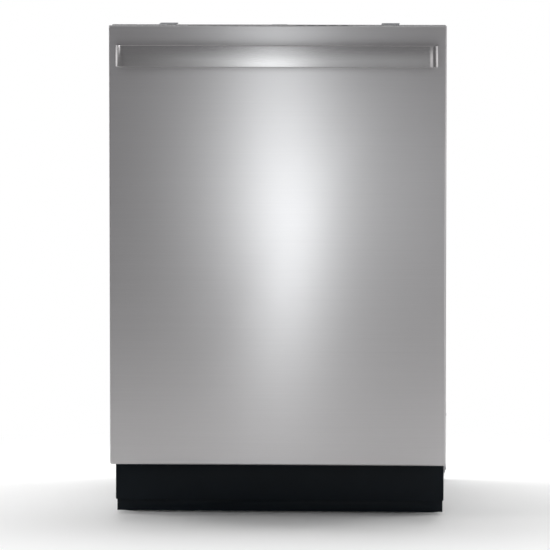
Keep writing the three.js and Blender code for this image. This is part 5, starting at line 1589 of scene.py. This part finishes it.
def oval_sweep(path, half_width, half_depth):
    """Oval pipe whose wide axis is X, along a path of (y, z) points."""
    rings = []
    for i, (y, z) in enumerate(path):
        along = path_direction(path, i)
        rings.append([
            (half_width * u, y - along.y * half_depth * v, z + along.x * half_depth * v)
            for u, v in round_points(0, 0, 1, 28)
        ])
    return skinned(rings)


WALL_Y, CEILING_Z, PORT_Z, DOCK_Y = 0.2967, 0.832, 0.462, 0.276
PIPE_BEND = 0.022
PORT = [
    (0.0103, 0.006), (0.0103, 0.0006), (0.0108, 0), (0.0128, 0), (0.0138, 0.001), (0.0138, 0.0035),
    (0.0128, 0.0045), (0.0128, WALL_Y - DOCK_Y), (0, WALL_Y - DOCK_Y), (0, 0.006), (0.0103, 0.006),
]
ROSE = [
    (0, -0.018), (0.021, -0.018), (0.0232, -0.0172), (0.0292, -0.0138), (0.03, -0.0126), (0.0295, -0.0104),
    (0.014, -0.0052), (0.012, -0.003), (0.012, 0), (0, 0),
]
ROSE_JET = [(0, -0.0178), (0.0016, -0.0178), (0.0022, -0.0181), (0, -0.0181)]
BAND_HEIGHTS = (0.25, 0.38, 0.56, 0.72)
BAND_WIDTH = 0.006
knots = [(WELL[1] + 0.132, 0.1383), (0.232, 0.1383), (WALL_Y, 0.178), (WALL_Y, CEILING_Z - 0.03),
         (WALL_Y - 0.03, CEILING_Z), (WELL[1], CEILING_Z)]
pipe = oval_sweep(rounded_path(knots, PIPE_BEND), 0.0138, 0.0053)
port = turned(PORT, "y", (0, DOCK_Y, PORT_Z), 44)
rose = turned(ROSE, "z", (*WELL, CEILING_Z), 56)
rose_jets = [turned(ROSE_JET, "z", (x, y, CEILING_Z), 12) for x, y in round_points(*WELL, 0.014, 8)]
band_outline = rounded_outline(-0.0142, 0.0142, WALL_Y - 0.0059, WALL_Y + 0.0052, 0.0045, 6)
bands = [pushed(band_outline, "z", z, z + BAND_WIDTH) for z in BAND_HEIGHTS]
feed_mesh = with_meshes(merged(pipe, rose, *rose_jets), edged(merged(port, *bands), 0.0004, 2, 40))
stand_in("feed_pipe", "spray_feed_tube", feed_mesh, SPRAY_GREY, 40)

NOSE = [
    (0.0088, -0.013), (0.0112, -0.0118), (0.0118, -0.0105), (0.0118, -0.0015), (0.0108, 0), (0.0085, 0),
    (0.0085, -0.013), (0.0088, -0.013),
]
SADDLE_PLACES = (0.0903, 0.173)
manifold_low, manifold_high = span("upper_manifold")
tip, foot = manifold_high.y, manifold_low.z
run = [(WELL[1], PORT_Z), (tip - 0.016, PORT_Z), (tip - 0.002, PORT_Z)]
boss = [(0, foot), (0.013, foot), (0.0145, foot + 0.001), (0.0145, PORT_Z + 0.0065),
        (0.0125, PORT_Z + 0.0088), (0, PORT_Z + 0.009)]
manifold_shapes = [
    oval_sweep(rounded_path(run, 0.002), 0.0088, 0.0088),
    turned(NOSE, "y", (0, tip, PORT_Z), 40),
    turned(boss, "z", (*WELL, 0), 48),
]
for wire_y in SADDLE_PLACES:
    saddle = rounded_outline(wire_y - 0.006, wire_y + 0.006, PORT_Z + 0.004, manifold_high.z, 0.002, 4)
    manifold_shapes.append(pushed(saddle, "x", -0.03, 0.03))
manifold_mesh = edged(merged(*manifold_shapes), 0.0003, 2, 50)
stand_in("rack_manifold", "upper_manifold", manifold_mesh, SPRAY_GREY, 40)
print("water pipes made")

# %% [markdown]
# Under the basin the sump is a round moulded pot, stiffened by ribs, with a sleeve for the lower arm in its
# middle. The wash pump bolts to its right side: a volute, a laminated stator core and a fan-cooled can. The
# small drain pump bolts to its left. Each is a turned form, and their ribs and fins come from the rib tree.

# %% Sump
SUMP_FOOT, SUMP_SLEEVE_TOP = span("sump_housing")[0].z, span("sump_housing")[1].z
SUMP_LIP = BASIN_FLOOR - 0.0023
SUMP_OUTSIDE = 0.125
PORT_HEIGHT = 0.094
PUMP_PORT = [(0.0, 0.12), (0.018, 0.12), (0.018, 0.1335), (0.0174, 0.134), (0, 0.134)]
DRAIN_PORT = [(0.0, -0.12), (0.013, -0.12), (0.013, -0.1335), (0.0124, -0.134), (0, -0.134)]


def spokes(x, y, z, radius, count, size):
    """Rib spots that point outwards round a centre, half a step off its X axis."""
    return [
        ((x + radius * across, y + radius * along, z), (across, along, 0), size)
        for across, along in round_points(0, 0, 1, count, 0.5)
    ]


def sump_mesh():
    outside, inside, foot, lip, sleeve = SUMP_OUTSIDE, SUMP_INSIDE, SUMP_FOOT, SUMP_LIP, SUMP_SLEEVE_TOP
    profile = [
        (0, foot), (0.02, foot), (0.022, foot + 0.0012), (0.117, foot + 0.0012), (0.1225, foot + 0.003),
        (outside, foot + 0.008), (outside, lip - 0.0035), (outside + 0.001, lip - 0.003),
        (outside + 0.0085, lip - 0.003), (outside + 0.009, lip - 0.0025), (outside + 0.009, lip - 0.0004),
        (outside + 0.0086, lip),
        (inside + 0.0004, lip), (inside, lip - 0.0006), (inside, foot + 0.009), (0.118, foot + 0.0046),
        (0.112, foot + 0.0034), (0.0165, foot + 0.003), (0.015, foot + 0.0045), (0.015, sleeve - 0.0008),
        (0.0144, sleeve), (0.0126, sleeve), (0.012, sleeve - 0.0008), (0.012, foot + 0.006), (0, foot + 0.006),
    ]
    x, y = WELL
    pot = turned(profile, "z", (x, y, 0), 112)
    pump_port = turned(PUMP_PORT, "x", (0, y, PORT_HEIGHT), 40)
    drain_port = turned(DRAIN_PORT, "x", (0, y, PORT_HEIGHT), 36)
    under_lip = spokes(x, y, lip - 0.0078, 0.1285, 24, (0.0018, 0.0092, 0.008))
    spots = [spot for spot in under_lip if abs(spot[1][0]) < 0.97]
    spots += spokes(x, y, foot + 0.0011, 0.07, 8, (0.0022, 0.0020, 0.088))
    return with_meshes(merged(pot, pump_port, drain_port), ribs(spots, SUMP_GREY, 0.0003))


sump = stand_in("sump_pot", "sump_housing", sump_mesh(), SUMP_GREY, 35)
print("sump:", len(sump.data.polygons), "faces")

# %% [markdown]
# Both pumps are turned forms. Thin square sheets, every other one a little smaller, read as the laminated
# core of a motor, and small blocks round the housings are fan ribs and screw bosses.

# %% Wash pump and drain pump
SHEET = 0.002
SHEET_STEP_IN = 0.0004
WASH_HEIGHT = 0.086
DRAIN_BODY = [
    (0, 0), (0.0245, 0), (0.026, 0.0015), (0.026, 0.0095), (0.025, 0.0105), (0.025, 0.0125), (0.026, 0.0135),
    (0.026, 0.0225), (0.0245, 0.024), (0.0205, 0.0245), (0.0205, 0.0605), (0.019, 0.0645), (0.015, 0.066),
    (0, 0.066),
]
SPOUT = [
    (0, 0), (0.009, 0), (0.009, 0.04), (0.0105, 0.0425), (0.0088, 0.0462), (0.0088, 0.049), (0.0105, 0.0505),
    (0.0088, 0.0542), (0.0086, 0.0575), (0.0072, 0.058), (0.0066, 0.054), (0, 0.054),
]


def core_sheets(start, count, y0, y1, z0, z1, corner, steps):
    """Stack of core sheets along X, every other one stepped in."""
    sheets = []
    for i in range(count):
        x, step = start + SHEET * i, SHEET_STEP_IN * (i % 2)
        outline = rounded_outline(y0 + step, y1 - step, z0 + step, z1 - step, corner, steps)
        sheets.append(pushed(outline, "x", x, x + SHEET))
    return sheets


def axial_blocks(x, y, z, radius, count, size):
    """Blocks that lie along X round an axle, half a step off its Y axis."""
    return [((x, across, up), (1, 0, 0), size) for across, up in round_points(y, z, radius, count, 0.5)]


def wash_pump_mesh():
    start, y, z = span("wash_motor")[0].x, WELL[1], WASH_HEIGHT
    core, can, volute = 0.031, 0.028, 0.036
    body = turned([
        (0, 0), (volute - 0.0015, 0), (volute, 0.0015), (volute, 0.0085), (volute - 0.0008, 0.0095),
        (volute - 0.0008, 0.0125), (volute, 0.0135), (volute, 0.023), (volute - 0.001, 0.0255),
        (volute - 0.005, 0.03), (0.0215, 0.0325), (0.02, 0.034), (0.02, 0.038), (0.0225, 0.0395),
        (can - 0.003, 0.0412), (can, 0.045), (can, 0.087),
        (can - 0.0012, 0.0905), (can - 0.005, 0.098), (0.0155, 0.1035), (0.014, 0.105),
        (0.0128, 0.1125), (0.0115, 0.114), (0, 0.114),
    ], "x", (start, y, z), 56)
    sheets = core_sheets(start + 0.054, 13, y - core, y + core, z - core, z + core, 0.009, 6)
    foot = rounded_outline(y - 0.008, y + 0.008, z - 0.04, z - 0.02, 0.002, 4)
    sheets.append(pushed(foot, "x", start + 0.046, start + 0.088))
    spots = axial_blocks(start + 0.0955, y, z, can - 0.0046, 16, (0.0018, 0.0018, 0.011))
    spots += axial_blocks(start + 0.011, y, z, volute - 0.002, 6, (0.0036, 0.0036, 0.019))
    return with_meshes(merged(body), edged(merged(*sheets), 0.0002, 1, 40), ribs(spots, ZINC_STEEL, 0.0003))


def drain_pump_mesh():
    start, y, z = span("drain_pump")[1].x, WELL[1], PORT_HEIGHT
    body = turned([(radius, -depth) for radius, depth in DRAIN_BODY], "x", (start, y, z), 48)
    sheets = core_sheets(start - 0.054, 10, y - 0.025, y + 0.025, z - 0.012, z + 0.027, 0.003, 4)
    spout = turned(SPOUT, "y", (start - 0.012, y, z - 0.014), 36)
    return with_meshes(merged(body, spout), edged(merged(*sheets), 0.0002, 1, 40))


stand_in("wash_pump", "wash_motor", wash_pump_mesh(), ZINC_STEEL, 35)
stand_in("waste_pump", "drain_pump", drain_pump_mesh(), PUMP_BLACK, 35)
print("pumps made")

# %% [markdown]
# The heater is a sheathed rod bent almost full circle, its two ends turned down through glands in the basin
# floor. It is a single path, drawn round in fine steps, so it goes through the wire tree with no bend radius.
# Heat leaves its sheath straw-brown.

# %% Heater
HEATER_Z = 0.144
HEATER_STEPS = 96
GLAND_LAYERS = [(0.0, 0.0005), (0.0, 0.0038), (0.0012, 0.0048)]


def heater_mesh():
    x0, y0 = WELL
    sweep = math.tau - HEATER_OPENING * 2
    turns = [HEATER_OPENING + sweep * i / HEATER_STEPS for i in range(HEATER_STEPS + 1)]
    radius = HEATER_RADIUS
    ring = [(x0 + radius * math.sin(turn), y0 + radius * math.cos(turn), HEATER_Z) for turn in turns]
    foot = span("heating_element")[0].z
    legs, glands = [], []
    for x, y in (ring[0][:2], ring[-1][:2]):
        legs.append([(x, y, foot), (x, y, HEATER_Z - 0.002)])
        layers = [(inset, BASIN_FLOOR + rise) for inset, rise in GLAND_LAYERS]
        glands.append(layered(round_points(x, y, 0.0086, 6), layers))
    sheath = wires([ring], 0.0038, HEATER_STEEL, 0.0, 1, 14)
    return with_meshes(sheath, wires(legs, 0.0039, HEATER_STEEL, 0.0, 1, 14), merged(*glands))


heater = stand_in("heater_ring", "heating_element", heater_mesh(), HEATER_STEEL, 35)
print("heater:", len(heater.data.polygons), "faces")

# %% [markdown]
# Over the sump lies a stainless filter plate with rows of fine holes, and a lift-out filter cup stands in
# it. The plate is drawn as rings of quads round the well, perforated by the tree, and the cup's wall is a
# fine grille.

# %% Filters and float
PLATE_Z = 0.1333
CUP = tuple(centre_of("fine_filter"))[:2]
CUP_RADIUS, CUP_RIM = 0.03, 0.1366
CUP_CLEAR, CUP_LAND = 0.0375, 0.043  # the plate is cut out to the first and has no holes inside the second
PLATE_RADII = [0.018, 0.024, *(0.031 + 0.007 * i for i in range(13)), 0.1265]
CUP_RING = [
    (0.031, -0.0004), (0.043, -0.0004), (0.043, 0.0012), (0.0365, 0.0014), (0.0352, 0.0028), (0.0345, 0.003),
    (0.0314, 0.003), (0.031, 0.0026), (0.031, -0.0004),
]
PLATE_EDGE = [
    (0.1225, -0.0008), (0.127, -0.0008), (0.128, 0), (0.1275, 0.0008), (0.1255, 0.001), (0.1225, 0.0005),
    (0.1225, -0.0008),
]
COLLAR = [
    (-0.002, -0.007), (0, -0.007), (0, 0), (0.0036, 0), (0.004, 0.0005), (0.004, 0.0025), (0.0034, 0.003),
    (-0.0015, 0.003), (-0.002, 0.0025), (-0.002, -0.007),
]
FLOAT_RADIUS = 0.018


def closed_round(x, y, radius, count, z):
    """Row of a net that runs once round a centre and ends where it starts."""
    row = [(u, v, z) for u, v in round_points(x, y, radius, count)]
    return row + row[:1]


def from_cup(place):
    """Distance of a place from the cup's axis."""
    return math.dist((place.x, place.y), CUP)


def filter_plate_mesh():
    shape = net_of([closed_round(*WELL, radius, 96, PLATE_Z) for radius in PLATE_RADII])
    gone = [face for face in shape.faces if from_cup(face.calc_center_median()) < CUP_CLEAR]
    bmesh.ops.delete(shape, geom=gone, context="FACES")

    def hole(centre):
        return 0.024 < math.dist((centre.x, centre.y), WELL) < 0.115 and from_cup(centre) > CUP_LAND

    grille = perforated(merged(shape), hole, 0.5, 0.0008, TUB_STEEL)
    ring = turned(CUP_RING, "z", (*CUP, PLATE_Z), 64)
    edge = turned(PLATE_EDGE, "z", (*WELL, PLATE_Z), 112)
    return with_meshes(grille, merged(ring, edge))


def filter_cup_mesh():
    low, high = span("fine_filter")
    rim, base, radius = CUP_RIM, low.z, CUP_RADIUS
    levels = stepped(base + 0.006, rim - 0.002, 14)
    wall = merged(net_of([closed_round(*CUP, radius - 0.0012, 64, z) for z in levels]))
    sieve = perforated(wall, lambda centre: True, 0.5, 0.0006, SUMP_GREY)
    cup = turned([(0, base), (radius - 0.005, base), (radius - 0.0015, base + 0.0015), (radius, base + 0.005),
                  (radius, base + 0.0085), (radius - 0.002, base + 0.0085), (radius - 0.002, base + 0.006),
                  (0, base + 0.006)], "z", (*CUP, 0), 56)
    collar = turned([(radius + out, rim + rise) for out, rise in COLLAR], "z", (*CUP, 0), 64)
    grip = two_radii(CUP[0] - radius + 0.0015, CUP[0] + radius - 0.0015, rim - 0.012, high.z, 0.002, 0.006, 6)
    handle_bar = pushed(grip, "y", CUP[1] - 0.0025, CUP[1] + 0.0025)
    posts = [((x, y, (base + rim) / 2), (0, 0, 1), (0.0022, 0.0022, rim - base - 0.012))
             for x, y in round_points(*CUP, radius - 0.0014, 6)]
    frame_mesh = edged(merged(cup, collar, handle_bar), 0.0005, 2, 40)
    return with_meshes(sieve, frame_mesh, ribs(posts, SUMP_GREY, 0.0002))


def float_mesh():
    low, high = span("float_cap")
    middle, radius, foot = centre_of("float_cap"), FLOAT_RADIUS, BASIN_FLOOR + 0.0003
    profile = [(0, low.z), (0.0034, low.z), (0.004, low.z + 0.0006), (0.004, foot + 0.012),
               (radius - 0.002, foot + 0.012), (radius - 0.002, foot), (radius - 0.0004, foot),
               (radius, foot + 0.0006), (radius, foot + 0.010), (radius - 0.0005, foot + 0.0122),
               (radius - 0.003, foot + 0.0158),
               (radius * 0.72, foot + 0.0186), (radius * 0.42, foot + 0.0204), (0, high.z)]
    return merged(turned(profile, "z", (middle.x, middle.y, 0), 56))


plate = stand_in("filter_sheet", "filter_plate", filter_plate_mesh(), TUB_STEEL, 40)
stand_in("filter_cup", "fine_filter", filter_cup_mesh(), SPRAY_GREY, 40)
stand_in("float_bell", "float_cap", float_mesh(), SPRAY_GREY, 40)
print("filter plate:", len(plate.data.polygons), "faces")

# %% [markdown]
# Folded plates and small mouldings keep their construction shapes. A press or a mould leaves the same forms
# with rounded edges, so a bevel and a finish complete them. The table gives each one's finish and edge
# radius.

# %% Plates and mouldings
KEPT_SHAPES = {
    "base_frame": (ZINC_STEEL, 0.0007), "junction_box": (ZINC_STEEL, 0.0006),
    "water_inlet_valve": (SPRAY_GREY, 0.0008),
    "hinge_arm_left": (ZINC_STEEL, 0.0004), "hinge_arm_right": (ZINC_STEEL, 0.0004),
    "counter_bracket_left": (ZINC_STEEL, 0.0003), "counter_bracket_right": (ZINC_STEEL, 0.0003),
    "latch_strike": (ZINC_STEEL, 0.0004), "latch_pawl": (ZINC_STEEL, 0.0004), "door_liner": (TUB_STEEL, 0.0010),
    "dispenser_body": (SUMP_GREY, 0.0008), "detergent_lid": (SPRAY_GREY, 0.0009),
    "rinse_aid_cap": (CAP_BLUE, 0.0009),
}
for node, (finish, edge) in KEPT_SHAPES.items():
    dressed(node, finish, edge, 3, 30)
print(len(KEPT_SHAPES), "shapes dressed")

# %% [markdown]
# Four sets of screws hold them: in the frame's sides, round the liner, in the counter brackets and the
# strike, and at the corners of the dispenser. Each place is worked out from the sheet that the screw's head
# bears on.

# %% Screws of the plates
SIDE_X, LINER_X = 0.291, 0.2952
LINER_Y, PLATE_Y, TAB_Y, STRIKE_Y = -0.221, -0.2137, -0.2112, -0.2097
FRAME_PLACES = ((-0.18, 0.036), (-0.18, 0.06), (-0.1, 0.136), (0.05, 0.136), (0.2, 0.136))
LINER_HEIGHTS = (0.2, 0.325, 0.45, 0.575, 0.7, 0.825)
BACKWARDS = (0, 1, 0)
frame_spots = [((side * SIDE_X, y, z), (side, 0, 0)) for side in (-1, 1) for y, z in FRAME_PLACES]
liner_spots = [((side * LINER_X, LINER_Y, z), BACKWARDS) for side in (-1, 1) for z in LINER_HEIGHTS]
liner_spots += [((x, LINER_Y, 0.1195), BACKWARDS) for x in (-0.2, 0, 0.2)]
tab_spots = [((side * 0.2 + step, TAB_Y, 0.8585), BACKWARDS) for side in (-1, 1) for step in (-0.008, 0.008)]
tab_spots += [((x, STRIKE_Y, 0.8575), BACKWARDS) for x in (-0.008, 0.008)]
plate_spots = [((x, PLATE_Y, z), BACKWARDS) for x in (-0.1145, 0.0745) for z in (0.4355, 0.5545)]
screws("frame_screws", frame_spots, ZINC_STEEL, "machine", 0.0045, 0.003)
screws("liner_screws", liner_spots, ZINC_STEEL, "door", 0.0032, 0.0019)
screws("tab_screws", tab_spots, ZINC_STEEL, "machine", 0.0034, 0.0022)
screws("plate_screws", plate_spots, ZINC_STEEL, "door", 0.0026, 0.0012)
print(len(frame_spots) + len(liner_spots) + len(tab_spots) + len(plate_spots), "screws set")

# %% [markdown]
# The machine stands on four levelling legs: a flat foot, a hexagon for the spanner, and a threaded stud
# that climbs through the frame. A stack of narrow rings reads as the thread.

# %% Levelling legs
LEG_FOOT = [
    (0, 0), (0.0148, 0), (0.016, 0.0012), (0.016, 0.0032), (0.015, 0.0043), (0.0088, 0.0068), (0, 0.0068),
]
LEG_NUT = [(0.0008, 0.0062), (0, 0.007), (0, 0.0227), (0.0009, 0.0236)]
NUT_RADIUS = 0.009
THREADS, THREAD_PITCH = 21, 0.0018
CREST, ROOT = (0.0049, 0.0243), (0.0041, 0.0252)  # radius and height of the lowest thread's crest and root


def leg_mesh(node):
    low, high = span(node)
    x, y, base = (*centre_of(node).xy, low.z)
    stud = [(0, 0.02), (0.0046, 0.02)]
    for i in range(THREADS):
        stud += [(radius, level + i * THREAD_PITCH) for radius, level in (CREST, ROOT)]
    stud += [(0.0035, high.z - base), (0, high.z - base)]
    nut = layered(round_points(x, y, NUT_RADIUS, 6), [(inset, base + level) for inset, level in LEG_NUT])
    return merged(turned(LEG_FOOT, "z", (x, y, base), 40), nut, turned(stud, "z", (x, y, base), 20))


for end in ("front", "back"):
    for side in ("left", "right"):
        leg = f"leveling_leg_{end}_{side}"
        stand_in(leg + "_screw", leg, leg_mesh(leg), ZINC_STEEL, 30)
print("legs made")

# %% [markdown]
# A long extension spring on each side balances the door. Its close coil is one helix through the wire tree,
# with a small hook behind and a long-armed hook in front. The spring joins the frame to the door. It is drawn
# at rest, from the frame's pin to the door's lever, and rides on no body.

# %% Door springs
LEVER, ANCHOR, SPRING_X = Vector((-0.201, 0.105)), Vector((-0.04, 0.06)), 0.2955
FRONT_HOOK = [  # distance along the spring from the lever's hole, and distance from the middle of the machine
    (0.0035, 0.2924), (0.0018, 0.2922), (0.0004, 0.2931), (-0.0008, 0.2952), (-0.0006, 0.2972),
    (0.0012, 0.2986), (0.0038, 0.2984), (0.0062, 0.2972),
]
HOOK_ARM_START, HOOK_ARM = 0.0085, 0.036
COIL_GAP = 0.0035
COIL_RADIUS, COIL_TURNS, COIL_STEPS = 0.0031, 49, 14
COIL_END, NECK, BACK_HOOK = 0.0225, (0.0185, 0.0075), 0.0039
SPRING_WIRE = 0.0008


def spring_chain(side):
    """From the hook in the door's lever to the hook round the frame's pin."""
    length = (ANCHOR - LEVER).length
    along = (ANCHOR - LEVER) / length
    up = Vector((-along.y, along.x))

    def place(distance, rise=0, x=SPRING_X):
        spot = LEVER + along * distance + up * rise
        return (side * x, spot.x, spot.y)

    chain = [place(distance, 0, x) for distance, x in FRONT_HOOK]
    chain += [place(distance) for distance in stepped(HOOK_ARM_START, HOOK_ARM_START + HOOK_ARM, 12)]
    start, end = HOOK_ARM_START + HOOK_ARM + COIL_GAP, length - COIL_END
    for i, distance in enumerate(stepped(start, end, COIL_TURNS * COIL_STEPS)):
        turn = math.tau * i / COIL_STEPS
        chain.append(place(distance, COIL_RADIUS * math.cos(turn), SPRING_X + COIL_RADIUS * math.sin(turn)))
    chain += [place(length - back) for back in NECK]
    for turn in stepped(math.pi, math.pi - math.tau * 0.82, 14):
        chain.append(place(length + BACK_HOOK * math.cos(turn), BACK_HOOK * math.sin(turn)))
    return chain


for name, side in (("left", -1), ("right", 1)):
    node = f"door_spring_{name}"
    coil = wires([spring_chain(side)], SPRING_WIRE, SPRING_STEEL, 0.0, 1, 6)
    spring = add_piece(node + "_coil", coil, SPRING_STEEL, None, (node,), 60)
    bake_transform(spring)
print("springs:", len(spring.data.polygons), "faces each")
